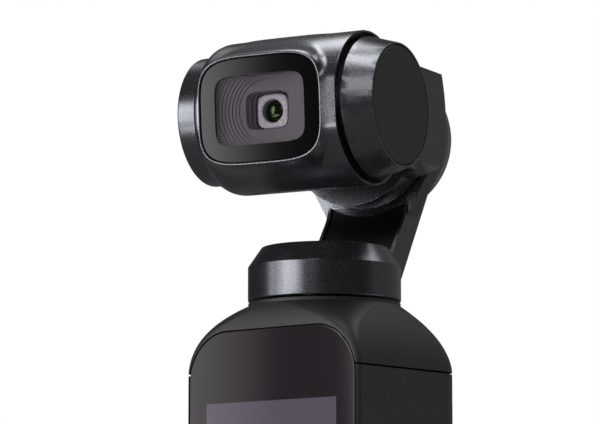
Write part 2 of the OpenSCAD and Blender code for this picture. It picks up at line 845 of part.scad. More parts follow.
module record_button() {
    color("#2b2b2d") difference() {
        button_solid(record_r, record_z);
        front_bore(mark_r + screw_fit, 0, record_z, front_y - overrun,
            front_y + button_step + mark_t);
    }
}
module record_mark() {
    color("#c02626") front_bore(mark_r, 0, record_z, front_y + button_step - mark_proud,
        front_y + button_step + mark_t);
}
module function_button() {
    color("#2b2b2d") difference() {
        button_solid(function_r, function_z);
        front_bore(function_r - flange_lip, 0, function_z, front_y - overrun,
            front_y + button_step + dish_depth);
    }
}
module status_light() {
    color("#e6efe6") {
        front_bore(light_r, 0, light_z, front_y + light_step, button_board_y - light_body_t);
        front_box(light_body, light_body, light_z, button_board_y - light_body_t,
            button_board_y);
    }
}
module microphones() {
    color("#b9a36a") {
        translate([mic_x - mic_w / 2, button_board_y - mic_t, light_z - mic_h / 2])
            cube([mic_w, mic_t, mic_h]);
        translate([base_mic_x - mic_w / 2, board_y - mic_t, board_foot_z])
            cube([mic_w, mic_t, mic_h]);
    }
}

// Motor pieces, each built round +Z from its own foot
module motor_core(inner_r, tip_r, h) {
    difference() {
        union() {
            cylinder(r = inner_r + core_ring, h = h);
            intersection() {
                cylinder(r = tip_r, h = h);
                for (i = [0:tooth_count - 1]) rotate([0, 0, 360 * i / tooth_count])
                    translate([0, -tooth_w / 2, 0]) cube([tip_r + overrun, tooth_w, h]);
            }
        }
        translate([0, 0, -overrun]) cylinder(r = inner_r, h = h + 2 * overrun);
    }
}
module motor_coils(inner_r, tip_r, h) {
    x0 = inner_r + core_ring + coil_inset;
    l = tip_r - coil_gap - x0;
    w = tooth_w / 2 + coil_gap;
    for (i = [0:tooth_count - 1]) rotate([0, 0, 360 * i / tooth_count]) difference() {
        translate([x0, -w - coil_w / 2, -coil_w / 2])
            cube([l, 2 * w + coil_w, h + coil_w]);
        translate([x0 - overrun, -w, -coil_gap])
            cube([l + 2 * overrun, 2 * w, h + 2 * coil_gap]);
    }
}
module motor_magnets(outer_r, t, h) {
    difference() {
        cylinder(r = outer_r, h = h);
        translate([0, 0, -overrun]) cylinder(r = outer_r - t, h = h + 2 * overrun);
        for (i = [0:magnet_count - 1]) rotate([0, 0, 360 * i / magnet_count])
            translate([0, -magnet_slot / 2, -overrun])
                cube([outer_r + overrun, magnet_slot, h + 2 * overrun]);
    }
}
module ring(inner_r, outer_r, h) {
    difference() {
        cylinder(r = outer_r, h = h);
        translate([0, 0, -overrun]) cylinder(r = inner_r, h = h + 2 * overrun);
    }
}

// Pan motor
module pan_base() {
    color("#77797d") difference() {
        union() {
            translate([0, 0, flange_z]) cylinder(r = pan_bore_r - seat_gap, h = ledge_t);
            translate([0, 0, flange_z]) cylinder(r = post_r, h = collar_z + pan_post_top - flange_z);
        }
        translate([0, 0, flange_z - overrun])
            cylinder(r = bearing_r, h = collar_z - flange_z + pan_post_top + 2 * overrun);
    }
}
module pan_bearings() {
    color("#b9bbbf") for (z = [flange_z, collar_z + pan_post_top - bearing_h])
        translate([0, 0, z]) ring(shaft_r + shaft_fit, bearing_r - bearing_fit, bearing_h);
}
module pan_stator() {
    color("#6d6f73") translate([0, 0, collar_z + pan_core_z])
        motor_core(post_r + core_fit, pan_tip_r, pan_core_h);
}
module pan_coils() {
    color("#b36b3c") translate([0, 0, collar_z + pan_core_z])
        motor_coils(post_r + core_fit, pan_tip_r, pan_core_h);
}
module pan_rotor() {
    color("#8a8c90") at_pan() difference() {
        union() {
            translate([0, 0, pan_plate_z]) cylinder(r = pan_rotor_r, h = pan_plate_t);
            translate([0, 0, pan_skirt_z])
                ring(pan_rotor_r - skirt_t, pan_rotor_r, pan_plate_z - pan_skirt_z + slice_t);
            translate([0, 0, pan_shaft_foot])
                cylinder(r = shaft_r, h = pan_plate_z - pan_shaft_foot + slice_t);
        }
        for (s = [-1, 1]) translate([s * arm_screw_x, arm_screw_y, pan_plate_z - overrun])
            cylinder(r = screw_r + screw_fit, h = pan_plate_t + 2 * overrun);
    }
}
module pan_magnets() {
    color("#9a9ca0") at_pan() translate([0, 0, pan_core_z])
        motor_magnets(pan_rotor_r - skirt_t - magnet_fit, magnet_t, pan_core_h);
}
module pan_collar() {
    color("#2e2f31") at_pan() difference() {
        rotate_extrude() polygon([
            [collar_inner_r, 0], [collar_r - collar_edge, 0], [collar_r, collar_edge],
            [collar_r, collar_band - collar_edge], [collar_r - collar_edge, collar_band],
            [collar_top_r, collar_top], [0, collar_top], [0, collar_room],
            [collar_inner_r, collar_room]
        ]);
        arm_slab();
    }
}

// Arm: its front face leans back in a straight line, then turns upright in a round throat
function arm_front(step, foot) =
    let (
        a = arm_front_lean,
        join_y = roll_housing_y - arm_throat_r * (1 - cos(a)),
        join_z = collar_top + (join_y - arm_front_y) / tan(a),
        throat_z = join_z + arm_throat_r * sin(a)
    )
    concat(
        [[arm_front_y + (foot - collar_top) * tan(a) + step, foot]],
        [for (i = [0:arm_throat_steps]) let (b = a * (1 - i / arm_throat_steps))
            [roll_housing_y - arm_throat_r * (1 - cos(b)) + step, throat_z - arm_throat_r * sin(b)]]
    );
function arm_back_at(z) = arm_back_y + (z - collar_band) * tan(arm_back_lean);
function arm_back_height(y) = collar_band + (y - arm_back_y) / tan(arm_back_lean);
function backwards(list) = [for (i = [len(list) - 1:-1:0]) list[i]];
// A side profile in Y and Z, given a width about the middle
module side_slab(w, points) {
    translate([-w / 2, 0, 0]) rotate([90, 0, 90]) linear_extrude(w) polygon(points);
}
// The sides of the arm where they spread, as tangents, to the roll motor's housing
module arm_flare() {
    r = roll_housing_r - arm_edge / 4;
    drop = axis_rise - arm_flare_z;
    a = atan2(arm_w / 2, drop) + acos(r / norm([arm_w / 2, drop]));
    translate([0, roll_band_y, 0]) rotate([90, 0, 0]) linear_extrude(roll_housing_band) polygon([
        [-arm_w / 2, arm_flare_z], [arm_w / 2, arm_flare_z],
        [r * sin(a), axis_rise - r * cos(a)], [-r * sin(a), axis_rise - r * cos(a)]
    ]);
}
module arm_slab() {
    side_slab(arm_w, concat(
        [[arm_back_at(arm_tip_z), arm_tip_z], [arm_tip_y, arm_tip_z], [arm_tip_y, collar_room],
            [arm_foot_y, collar_room], [arm_foot_y, collar_top]],
        arm_front(0, collar_top),
        [[roll_housing_y, axis_rise], [roll_end_y, axis_rise],
            [roll_end_y, arm_back_height(roll_end_y)]]
    ));
}
// The hollow or the filling of the arm's front, between two steps behind its front face
module arm_layer(w, step0, step1, foot) {
    difference() {
        side_slab(w, concat(arm_front(step0, foot), backwards(arm_front(step1, foot))));
        translate([0, roll_housing_y - overrun, axis_rise]) along_y()
            cylinder(r = roll_housing_r + seat_gap, h = 2 * arm_throat_r);
    }
}
module pan_arm() {
    color("#2e2f31") at_pan() difference() {
        union() {
            arm_slab();
            arm_flare();
            translate([0, 0, axis_rise]) rotate([-90, 0, 0]) rotate_extrude() polygon([
                [0, roll_housing_y], [roll_housing_r, roll_housing_y],
                [roll_housing_r, roll_band_y], [roll_end_r, roll_end_y], [0, roll_end_y]
            ]);
        }
        cylinder(r = collar_inner_r, h = collar_room);
        arm_layer(arm_w - 2 * arm_edge, -overrun, arm_recess, arm_recess_z);
        translate([0, 0, axis_rise]) rotate([-90, 0, 0]) rotate_extrude() polygon([
            [0, roll_housing_y - overrun], [roll_room_r, roll_housing_y - overrun],
            [roll_room_r, roll_web_y - shell_wall], [roll_room_r - shell_wall, roll_web_y],
            [post_r, roll_web_y], [post_r, roll_post_y], [0, roll_post_y]
        ]);
        translate([0, roll_post_y - overrun, axis_rise]) along_y()
            cylinder(r = bearing_r, h = roll_end_y - roll_post_y + 2 * overrun);
        translate([0, roll_web_y + roll_web_t, axis_rise]) along_y()
            cylinder(r = roll_end_r - shell_wall, h = roll_end_y - roll_web_y);
        for (s = [-1, 1]) translate([s * arm_screw_x, arm_screw_y, 0]) {
            cylinder(r = screw_r + screw_fit, h = collar_top + overrun);
            translate([0, 0, collar_top - screw_head_t])
                cylinder(r = screw_head_r + screw_fit, h = screw_head_t + overrun);
        }
    }
}
module arm_cover() {
    color("#17181a") at_pan() arm_layer(arm_w - 2 * (arm_edge + seat_gap), arm_cover_step,
        arm_cover_step + arm_cover_t, arm_recess_z + seat_gap);
}
module arm_flex() {
    color("#8a5a2c") at_pan() arm_layer(arm_flex_w, arm_recess - arm_flex_t, arm_recess,
        arm_recess_z + seat_gap);
}
module arm_screws() {
    color("#55565a") at_pan() for (s = [-1, 1]) translate([s * arm_screw_x, arm_screw_y, 0]) {
        translate([0, 0, pan_plate_z]) cylinder(r = screw_r, h = collar_top - pan_plate_z - seat_gap);
        translate([0, 0, collar_top - screw_head_t])
            cylinder(r = screw_head_r, h = screw_head_t - seat_gap);
    }
}

// Roll motor
module roll_bearings() {
    color("#b9bbbf") at_head() for (y = [roll_post_y, roll_end_y - bearing_h - roll_web_t / 2])
        translate([0, y, 0]) along_y()
            ring(shaft_r + shaft_fit, bearing_r - bearing_fit, bearing_h);
}
module roll_stator() {
    color("#6d6f73") at_head() translate([0, roll_core_y, 0]) along_y()
        motor_core(post_r + core_fit, roll_tip_r, roll_core_h);
}
module roll_coils() {
    color("#b36b3c") at_head() translate([0, roll_core_y, 0]) along_y()
        motor_coils(post_r + core_fit, roll_tip_r, roll_core_h);
}
module roll_cover() {
    edge_r = roll_end_r - roll_cover_gap;
    color("#2e2f31") at_head() rotate([-90, 0, 0]) rotate_extrude() polygon([
        [0, roll_end_y + roll_cover_gap], [edge_r, roll_end_y + roll_cover_gap],
        [edge_r - roll_cover_edge / 2, roll_back_y - roll_cover_edge],
        [edge_r - 2 * roll_cover_edge, roll_back_y - roll_cover_edge / 3], [0, roll_back_y]
    ]);
}
module roll_magnets() {
    color("#9a9ca0") at_head() translate([0, roll_core_y, 0]) along_y()
        motor_magnets(roll_skirt_r - skirt_t - magnet_fit, magnet_t, roll_core_h);
}

// Bracket between the roll and the tilt motors
function cone_at(r) = cone_y - cone_slope * (r - bracket_x);
module bracket_leg() {
    far_r = bracket_x + cone_reach;
    intersection() {
        translate([0, 0, -bracket_down]) linear_extrude(bracket_down + bracket_up) polygon([
            [leg_inner_x, roll_rotor_y], [elbow_x, elbow_y], [elbow_x, -tilt_forward],
            [bracket_x, -tilt_forward], [bracket_x, roll_housing_y],
            [leg_inner_x, roll_housing_y]
        ]);
        rotate([-90, 0, 0]) rotate_extrude() polygon([
            [0, -2 * tilt_forward], [far_r, -2 * tilt_forward], [far_r, cone_at(far_r)],
            [roll_rotor_r, cone_at(roll_rotor_r)], [0, cone_at(roll_rotor_r)]
        ]);
    }
}
module roll_bracket() {
    rim_y = roll_housing_y - turn_gap;
    plate_back_y = roll_rotor_y + rotor_plate_t;
    color("#2e2f31") at_head() {
        difference() {
            union() {
                bracket_leg();
                rotate([-90, 0, 0]) rotate_extrude() polygon([
                    [0, roll_rotor_y], [roll_rotor_r, roll_rotor_y], [roll_rotor_r, rim_y],
                    [0, rim_y]
                ]);
                translate([elbow_x, -tilt_forward, 0]) along_x()
                    cylinder(r1 = tilt_housing_r, r2 = tilt_face_r, h = bracket_x - elbow_x);
            }
            translate([0, plate_back_y, 0]) along_y()
                cylinder(r = roll_rotor_r - rotor_wall, h = roll_back_y - plate_back_y);
            translate([0, -tilt_forward, 0]) {
                translate([elbow_x - overrun, 0, 0]) along_x() difference() {
                    cylinder(r = tilt_room_r, h = tilt_web_x - elbow_x + overrun);
                    cylinder(r = tilt_post_r, h = tilt_web_x - elbow_x + 2 * overrun);
                }
                translate([elbow_x - overrun, 0, 0]) along_x()
                    cylinder(r = tilt_bearing_r, h = bracket_x - elbow_x + 2 * overrun);
                translate([tilt_face_x, 0, 0]) along_x()
                    cylinder(r = tilt_face_r - tilt_cover_rim, h = tilt_cover_t + overrun);
            }
        }
        translate([0, plate_back_y - slice_t, 0]) along_y()
            ring(roll_skirt_r - skirt_t, roll_skirt_r,
                roll_core_y + roll_core_h - plate_back_y + 2 * slice_t);
        translate([0, plate_back_y - slice_t, 0]) along_y()
            cylinder(r = shaft_r, h = roll_end_y - seat_gap - plate_back_y);
    }
}
module tilt_bearings() {
    color("#b9bbbf") at_tilt() for (x = [elbow_x, tilt_face_x - tilt_bearing_h])
        translate([x, 0, 0]) along_x()
            ring(tilt_shaft_r + shaft_fit, tilt_bearing_r - bearing_fit, tilt_bearing_h);
}
module tilt_stator() {
    color("#6d6f73") at_tilt() translate([tilt_core_x, 0, 0]) along_x()
        motor_core(tilt_post_r + core_fit, tilt_tip_r, tilt_core_h);
}
module tilt_coils() {
    color("#b36b3c") at_tilt() translate([tilt_core_x, 0, 0]) along_x()
        motor_coils(tilt_post_r + core_fit, tilt_tip_r, tilt_core_h);
}
module tilt_cover() {
    color("#333437") at_tilt() translate([tilt_face_x + tilt_cover_gap, 0, 0]) along_x()
        cylinder(r = tilt_face_r - 1.6 * tilt_cover_rim, h = tilt_cover_t - tilt_cover_gap);
}
module tilt_rotor() {
    color("#8a8c90") at_camera() {
        translate([tilt_plate_x, 0, 0]) along_x()
            cylinder(r = barrel_inner_r - seat_gap, h = tilt_plate_t);
        translate([tilt_plate_x + tilt_plate_t - slice_t, 0, 0]) along_x()
            ring(tilt_skirt_r - tilt_skirt_t, tilt_skirt_r, tilt_skirt_l);
        translate([tilt_plate_x, 0, 0]) along_x()
            cylinder(r = tilt_shaft_r, h = tilt_face_x - seat_gap - tilt_plate_x);
    }
}
module tilt_magnets() {
    color("#9a9ca0") at_camera()
        translate([tilt_plate_x + tilt_plate_t + tilt_skirt_l - tilt_magnet_l - 2 * slice_t, 0, 0])
            along_x() motor_magnets(tilt_skirt_r - tilt_skirt_t - magnet_fit, tilt_magnet_t,
                tilt_magnet_l);
}

// Camera shells
function barrel_profile(r) = concat(
    [[0, -barrel_left_x]],
    [for (i = [0:round_steps]) let (a = 90 * i / round_steps)
        [round_end_r + (r - round_end_r) * sin(a), -barrel_left_x + barrel_round * (1 - cos(a))]],
    [[r, barrel_rim_x], [0, barrel_rim_x]]
);
module barrel_solid() {
    rotate([0, 90, 0]) rotate_extrude() polygon(barrel_profile(barrel_r));
}
module barrel_room() {
    translate([camera_wall - barrel_left_x, 0, 0]) along_x()
        cylinder(r = round_end_r - 0.3 * camera_wall, h = barrel_round);
    translate([barrel_round - barrel_left_x, 0, 0]) along_x()
        cylinder(r = barrel_inner_r, h = barrel_left_x - barrel_round + barrel_rim_x + overrun);
    translate([barrel_rim_x - rim_depth, 0, 0]) along_x()
        cylinder(r = rim_inner_r, h = rim_depth + overrun);
}
module front_shell() {
    rim_w = window_w + 2 * window_rim;
    rim_h = window_h + 2 * window_rim;
    rim_y = window_y + window_step;
    far = 2 * barrel_r;
    color("#2e2f31") at_camera() difference() {
        union() {
            barrel_solid();
            hull() {
                oval_block(rim_w, rim_h, -rim_y, slice_t - rim_y);
                oval_block(snout_back_w, snout_back_h, -snout_back_y, slice_t - snout_back_y);
            }
        }
        barrel_room();
        oval_block(rim_w + 2 * slice_t, rim_h + 2 * slice_t, -far, -rim_y);
        oval_block(window_w + 2 * glass_fit, window_h + 2 * glass_fit, -far, window_t - window_y);
        oval_block(baffle_w + 2 * glass_fit, baffle_h + 2 * glass_fit, -far, 0);
        translate([-far, -parting_gap / 2, -far]) cube(2 * far);
        translate([barrel_rim_x - parting_notch, -parting_notch, -far])
            cube([parting_notch + overrun, parting_notch, 2 * far]);
    }
}
module rear_shell() {
    far = 2 * barrel_r;
    color("#2e2f31") at_camera() difference() {
        barrel_solid();
        barrel_room();
        translate([-far, parting_gap / 2 - 2 * far, -far]) cube(2 * far);
    }
}
module end_cap() {
    edge = 1.5 * collar_edge;
    color("#353639") at_camera() rotate([0, 90, 0]) rotate_extrude() polygon([
        [0, -end_cap_x], [end_cap_r - edge, -end_cap_x], [end_cap_r, edge - end_cap_x],
        [end_cap_r, -barrel_left_x - seat_gap], [0, -barrel_left_x - seat_gap]
    ]);
}

// Window, baffle and lens
module window_glass() {
    color("#3a3238") at_camera() oval_block(window_w, window_h, -window_y, window_t - window_y);
}
module light_baffle() {
    y0 = window_t + slice_t - window_y;
    color("#6f6870") at_camera() difference() {
        oval_block(baffle_w, baffle_h, y0, y0 + baffle_depth);
        oval_block(baffle_view_w, baffle_view_h, y0 - overrun, y0 + baffle_tray);
        for (i = [0:ring_count - 1]) intersection() {
            oval_block(baffle_view_w, baffle_view_h, y0 - overrun,
                y0 + baffle_tray + (i + 1) * ring_drop);
            translate([0, y0 - overrun, 0]) along_y()
                cylinder(r = ring_first_r - i * ring_pitch,
                    h = baffle_tray + (i + 1) * ring_drop + overrun);
        }
        translate([-well_shift, 0, 0])
            oval_block(lens_well_w, lens_well_h, y0 - overrun, -barrel_front);
        translate([0, y0 - overrun, 0]) along_y()
            cylinder(r = lens_barrel_r + seat_gap / 2, h = baffle_depth + 2 * overrun);
        for (sx = [-1, 1], sz = [-1, 1]) translate([sx * magnet_x, y0 - overrun, sz * magnet_z])
            along_y() cylinder(r = magnet_r + screw_fit, h = magnet_h + overrun);
    }
}
module filter_magnets() {
    y0 = window_t + slice_t - window_y;
    color("#9a9ca0") at_camera() for (sx = [-1, 1], sz = [-1, 1])
        translate([sx * magnet_x, y0, sz * magnet_z]) along_y()
            cylinder(r = magnet_r, h = magnet_h);
}
module lens_surround() {
    color("#b0a9b5") at_camera() difference() {
        oval_block(surround_size, surround_size, -surround_front, -barrel_front, surround_square);
        translate([0, -surround_front - overrun, 0]) along_y()
            cylinder(r = lens_open_r, h = surround_t + 2 * overrun);
    }
}
module lens_barrel() {
    color("#1a1a1c") at_camera() translate([0, -barrel_front, 0]) along_y() difference() {
        cylinder(r = lens_barrel_r, h = barrel_front - barrel_back);
        translate([0, 0, -overrun]) cylinder(r = lens_open_r, h = 2 * overrun);
        translate([0, 0, overrun]) cylinder(r = lens_bore_r, h = barrel_front - barrel_back);
    }
}
module lens_elements() {
    front = surround_front - front_lens_back;
    color("#4a5a3a") at_camera() {
        intersection() {
            translate([0, -front, 0]) along_y()
                cylinder(r = lens_open_r - lens_fit, h = front_lens_t);
            translate([0, lens_open_r * lens_open_r / 2 / lens_dome - front, 0])
                sphere(r = lens_open_r * lens_open_r / 2 / lens_dome);
        }
        for (i = [0:element_count - 1])
            translate([0, 2 * overrun - barrel_front + i * (element_t + element_gap), 0]) along_y()
                cylinder(r = lens_bore_r - lens_fit, h = element_t);
    }
}
module image_sensor() {
    color("#2a2f3a") at_camera() front_box(sensor_w, sensor_h, 0, -barrel_back,
        sensor_t - barrel_back);
}
module sensor_board() {
    y0 = sensor_t - barrel_back;
    color("#1f5a3c") at_camera() front_box(sensor_board_w, sensor_board_h, 0, y0,
        y0 + camera_board_t);
}

// Every piece, alone or together
top_cap();
handle_shell();
base_cap();
screen_glass();
touch_film();
display_panel();
display_backlight();
inner_frame();
battery_cell();
main_board();
board_chips();
shield_can();
heat_spreader();
usb_socket();
card_socket();
memory_card();
port_contacts();
port_cover();
button_board();
button_switches();
record_button();
record_mark();
function_button();
status_light();
microphones();
frame_screws();
pan_base();
pan_bearings();
pan_stator();
pan_coils();
pan_collar();
pan_rotor();
pan_magnets();
pan_arm();
arm_cover();
arm_flex();
arm_screws();
roll_bearings();
roll_stator();
roll_coils();
roll_cover();
roll_bracket();
roll_magnets();
tilt_bearings();
tilt_stator();
tilt_coils();
tilt_cover();
tilt_rotor();
tilt_magnets();
front_shell();
rear_shell();
end_cap();
window_glass();
light_baffle();
filter_magnets();
lens_surround();
lens_barrel();
lens_elements();
image_sensor();
sensor_board();
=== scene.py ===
"""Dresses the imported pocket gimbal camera: its shells, glass, lens and finishes, and the stage.

Every piece is modelled in millimetres, in the frame of the part that carries it, and then laid
in its place in the row frame.
"""

import json
import math

import bpy
from mathutils import Matrix, Vector


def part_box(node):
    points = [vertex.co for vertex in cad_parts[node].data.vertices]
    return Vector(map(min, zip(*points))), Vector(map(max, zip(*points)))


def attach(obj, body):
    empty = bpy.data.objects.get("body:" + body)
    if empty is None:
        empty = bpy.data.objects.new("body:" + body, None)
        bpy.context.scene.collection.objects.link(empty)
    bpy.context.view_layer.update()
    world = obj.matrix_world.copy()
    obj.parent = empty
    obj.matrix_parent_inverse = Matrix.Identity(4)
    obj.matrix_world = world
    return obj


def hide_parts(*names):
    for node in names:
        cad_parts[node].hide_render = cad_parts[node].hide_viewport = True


bl_info = {
    "name": "Pocket gimbal camera",
    "version": (1, 0, 0),
    "blender": (4, 5, 0),
    "location": "3D View > Sidebar > Gimbal camera",
    "description": "Shells, glass, lens and finishes of a pocket gimbal camera",
    "category": "Object",
}

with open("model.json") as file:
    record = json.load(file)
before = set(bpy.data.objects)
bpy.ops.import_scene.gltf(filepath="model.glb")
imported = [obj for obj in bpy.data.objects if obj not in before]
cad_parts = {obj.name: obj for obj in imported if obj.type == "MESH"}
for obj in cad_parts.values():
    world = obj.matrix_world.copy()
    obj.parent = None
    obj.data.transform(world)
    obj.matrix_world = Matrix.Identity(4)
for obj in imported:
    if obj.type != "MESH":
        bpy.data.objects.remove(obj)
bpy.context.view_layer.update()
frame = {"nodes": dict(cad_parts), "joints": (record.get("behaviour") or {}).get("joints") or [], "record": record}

MM = 0.001


def joint(name):
    """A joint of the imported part."""
    return next(j for j in frame["joints"] if j["name"] == name)


def mount(name):
    """A mount of the record."""
    return next(m for m in frame["record"]["mounts"] if m["name"] == name)


def axes_at(x, y, z, origin):
    """A placement whose columns are three directions, in metres per millimetre."""
    turn = Matrix((x, y, z)).transposed()
    return Matrix.Translation(origin) @ turn.to_4x4() @ Matrix.Scale(MM, 4)


# The frames that the pieces are modelled in, from the joints and mounts of the record
TILT_AXIS = Vector(joint("tilt")["axis"]).normalized()
ROLL_AXIS = Vector(joint("roll")["axis"]).normalized()
UP = Vector((0, 0, 1))
VIEW = Vector(mount("filter_face")["axis"]).normalized()
HANDLE = Matrix.Scale(MM, 4)
HEAD = axes_at(TILT_AXIS, ROLL_AXIS, UP, Vector(joint("roll")["pos_m"]))
CAMERA = axes_at(TILT_AXIS, -VIEW, -TILT_AXIS.cross(VIEW), Vector(joint("tilt")["pos_m"]))


# Sizes and colours that a user would change


def number(name, description, default):
    return bpy.props.FloatProperty(name=name, description=description, default=default)


def colour(name, description, default):
    return bpy.props.StringProperty(name=name, description=description, default=default)


class CameraShape(bpy.types.PropertyGroup):
    """Sizes of the camera's shells and window, in millimetres."""

    barrel_r: number("Barrel radius", "Radius of the camera's barrel", 9.9)
    rim_x: number("Right rim", "Distance of the right rim from the centre", 10.95)
    shoulder_x: number("Left shoulder", "Distance of the left shoulder", 9.95)
    shoulder_r: number("Shoulder radius", "Radius where the left shoulder ends", 8.4)
    shoulder_round: number("Shoulder round", "Length of the rounded left shoulder", 2.4)
    wall: number("Wall", "Wall of the camera's shells", 1.1)
    window_w: number("Window width", "Width of the window", 17.1)
    window_h: number("Window height", "Height of the window", 13.3)
    rim_w: number("Rim", "Width of the thin rim round the window", 0.25)
    front: number("Front", "Distance of the rim ahead of the tilt axis", 9.45)
    glass_front: number("Glass front", "Distance of the window's face", 9.28)
    squareness: number("Squareness", "Power of the window's squared oval", 4.2)
    snout_w: number("Snout width", "Width of the front's foot on the barrel", 19.4)
    snout_h: number("Snout height", "Height of the front's foot on the barrel", 18.4)
    snout_back: number("Snout foot", "Distance of the front's foot ahead", 3.5)


class HandleShape(bpy.types.PropertyGroup):
    """Sizes of the handle's shoulder, in millimetres."""

    width: number("Width", "Width of the handle", 28.6)
    depth: number("Depth", "Depth of the handle", 21.8)
    seam_z: number("Seam", "Foot of the shoulder cap", 79.15)
    neck_z: number("Neck", "Height where the neck's straight band starts", 87.8)
    neck_r: number("Neck radius", "Radius of the neck", 9.9)
    band: number("Neck band", "Height of the neck's straight band", 0.4)
    front_r: number("Front corners", "Radius of the front corners", 0.8)
    rear_r: number("Rear corners", "Radius of the rear corners", 3.7)
    glass_w: number("Glass width", "Width of the cover glass", 27.4)
    glass_top: number("Glass top", "Height of the glass's upper edge", 84.3)
    glass_foot: number("Glass foot", "Height of the glass's lower edge", 50.6)
    glass_r: number("Glass corners", "Radius of the glass's upper corners", 6.4)


class FinishColours(bpy.types.PropertyGroup):
    """Colours of the finishes, as sRGB hex values."""

    gimbal: colour("Gimbal metal", "Charcoal paint of the head", "#66676c")
    disc: colour("Motor discs", "Matt charcoal of the discs", "#353536")
    handle: colour("Handle", "Dark plastic of the handle", "#28282b")
    glass: colour("Cover glass", "Print behind the cover glass", "#2a2329")
    # painted reflection: this grey-violet stands for the sheen that the glass over the display reflects
    display: colour("Display", "Dark display behind the glass", "#5f5665")
    baffle: colour("Light baffle", "Stepped baffle round the lens", "#635c64")


def sizes(group):
    """The scene's property group of that name."""
    return getattr(bpy.context.scene, group)


# Nodes and materials


def linear(hex_value):
    """An sRGB hex colour as linear red, green, blue and alpha."""
    parts = [int(hex_value[i:i + 2], 16) / 255 for i in (1, 3, 5)]
    return [c / 12.92 if c <= 0.04045 else ((c + 0.055) / 1.055) ** 2.4 for c in parts] + [1.0]


def shade(hex_value, factor):
    """A linear colour made lighter or darker."""
    return [min(1.0, c * factor) for c in linear(hex_value)[:3]] + [1.0]


def add_node(tree, kind, settings=None, inputs=None):
    """Adds a node, sets its properties, and sets or links its inputs."""
    node = tree.nodes.new(kind)
    for key, value in (settings or {}).items():
        setattr(node, key, value)
    for key, value in (inputs or {}).items():
        socket = node.inputs[key]
        if isinstance(value, bpy.types.NodeSocket):
            tree.links.new(value, socket)
        else:
            socket.default_value = value
    return node


def new_material(name, **surface):
    """A material with a Principled shader: its tree, shader and object coordinates."""
    material = bpy.data.materials.new(name)
    material.use_nodes = True
    tree = material.node_tree
    shader = tree.nodes["Principled BSDF"]
    for key, value in surface.items():
        shader.inputs[key.replace("_", " ")].default_value = value
    coordinates = add_node(tree, "ShaderNodeTexCoord").outputs["Object"]
    return material, tree, shader, coordinates


def noise(tree, coordinates, size_mm, detail=2.0, roughness=0.5):
    """Noise whose blobs are about size_mm across."""
    return add_node(
        tree,
        "ShaderNodeTexNoise",
        inputs={
            "Vector": coordinates,
            "Scale": 1 / (size_mm * MM),
            "Detail": detail,
            "Roughness": roughness,
        },
    ).outputs["Fac"]


def between(tree, factor, low, high, value_low, value_high):
    """Maps a factor from low..high to two values."""
    return add_node(
        tree,
        "ShaderNodeMapRange",
        inputs={
            "Value": factor,
            "From Min": low,
            "From Max": high,
            "To Min": value_low,
            "To Max": value_high,
        },
    ).outputs["Result"]


def calculate(tree, operation, first, second):
    """The result of a Math node."""
    return add_node(
        tree, "ShaderNodeMath", {"operation": operation}, {0: first, 1: second}
    ).outputs[0]


def blend_colours(tree, factor, first, second):
    """Mixes two colours, given as values or sockets."""
    node = add_node(tree, "ShaderNodeMix", {"data_type": "RGBA"})
    tree.links.new(factor, node.inputs["Factor"])
    for socket, colour in ((node.inputs[6], first), (node.inputs[7], second)):
        if isinstance(colour, bpy.types.NodeSocket):
            tree.links.new(colour, socket)
        else:
            socket.default_value = colour
    return node.outputs[2]


def relief(tree, shader, height, depth_mm, strength=1.0):
    """Bump of a real depth."""
    bump = add_node(
        tree,
        "ShaderNodeBump",
        inputs={"Height": height, "Distance": depth_mm * MM, "Strength": strength},
    )
    tree.links.new(bump.outputs["Normal"], shader.inputs["Normal"])


def grained_metal(name, hex_value, roughness=0.24, grain_mm=0.16, metallic=0.92):
    """Die-cast alloy under a charcoal coat with a fine metallic grain: dark, with soft broad
    highlights and tiny lighter specks."""
    material, tree, shader, place = new_material(name, Metallic=metallic, Roughness=roughness)
    fine = noise(tree, place, grain_mm, 3.0, 0.7)
    broad = noise(tree, place, 30 * grain_mm)
    speck = between(tree, fine, 0.38, 0.66, 0.0, 1.0)
    base = blend_colours(tree, speck, shade(hex_value, 0.74), shade(hex_value, 1.4))
    even = between(tree, broad, 0.3, 0.7, 0.0, 0.3)
    tone = blend_colours(tree, even, base, shade(hex_value, 1.0))
    tree.links.new(tone, shader.inputs["Base Color"])
    rough = between(tree, fine, 0.3, 0.7, roughness - 0.05, roughness + 0.07)
    tree.links.new(rough, shader.inputs["Roughness"])
    relief(tree, shader, fine, 0.008, 0.6)
    return material


def moulded_plastic(name, hex_value, roughness=0.46, grain_mm=0.24, depth_mm=0.028):
    """Glass-filled nylon, moulded in a spark-eroded tool: matt, with a coarse sparkling grain."""
    material, tree, shader, place = new_material(name, Roughness=roughness)
    grain = noise(tree, place, grain_mm, 4.0, 0.75)
    broad = noise(tree, place, 30 * grain_mm)
    speck = between(tree, grain, 0.45, 0.75, 0.0, 1.0)
    base = blend_colours(tree, speck, shade(hex_value, 0.8), shade(hex_value, 2.0))
    tone = blend_colours(tree, broad, base, shade(hex_value, 1.0))
    tree.links.new(tone, shader.inputs["Base Color"])
    rough = between(tree, grain, 0.35, 0.7, roughness + 0.1, roughness - 0.12)
    tree.links.new(rough, shader.inputs["Roughness"])
    relief(tree, shader, grain, depth_mm, 0.9)
    return material


def plain_plastic(name, hex_value, roughness=0.45, grain_mm=0.1, depth_mm=0.004, specular=0.5):
    """Injection-moulded plastic or lacquer with an even fine grain."""
    material, tree, shader, place = new_material(
        name, Roughness=roughness, Specular_IOR_Level=specular
    )
    grain = noise(tree, place, grain_mm, 2.0)
    tone = blend_colours(tree, grain, shade(hex_value, 0.9), shade(hex_value, 1.12))
    tree.links.new(tone, shader.inputs["Base Color"])
    relief(tree, shader, grain, depth_mm, 0.4)
    return material


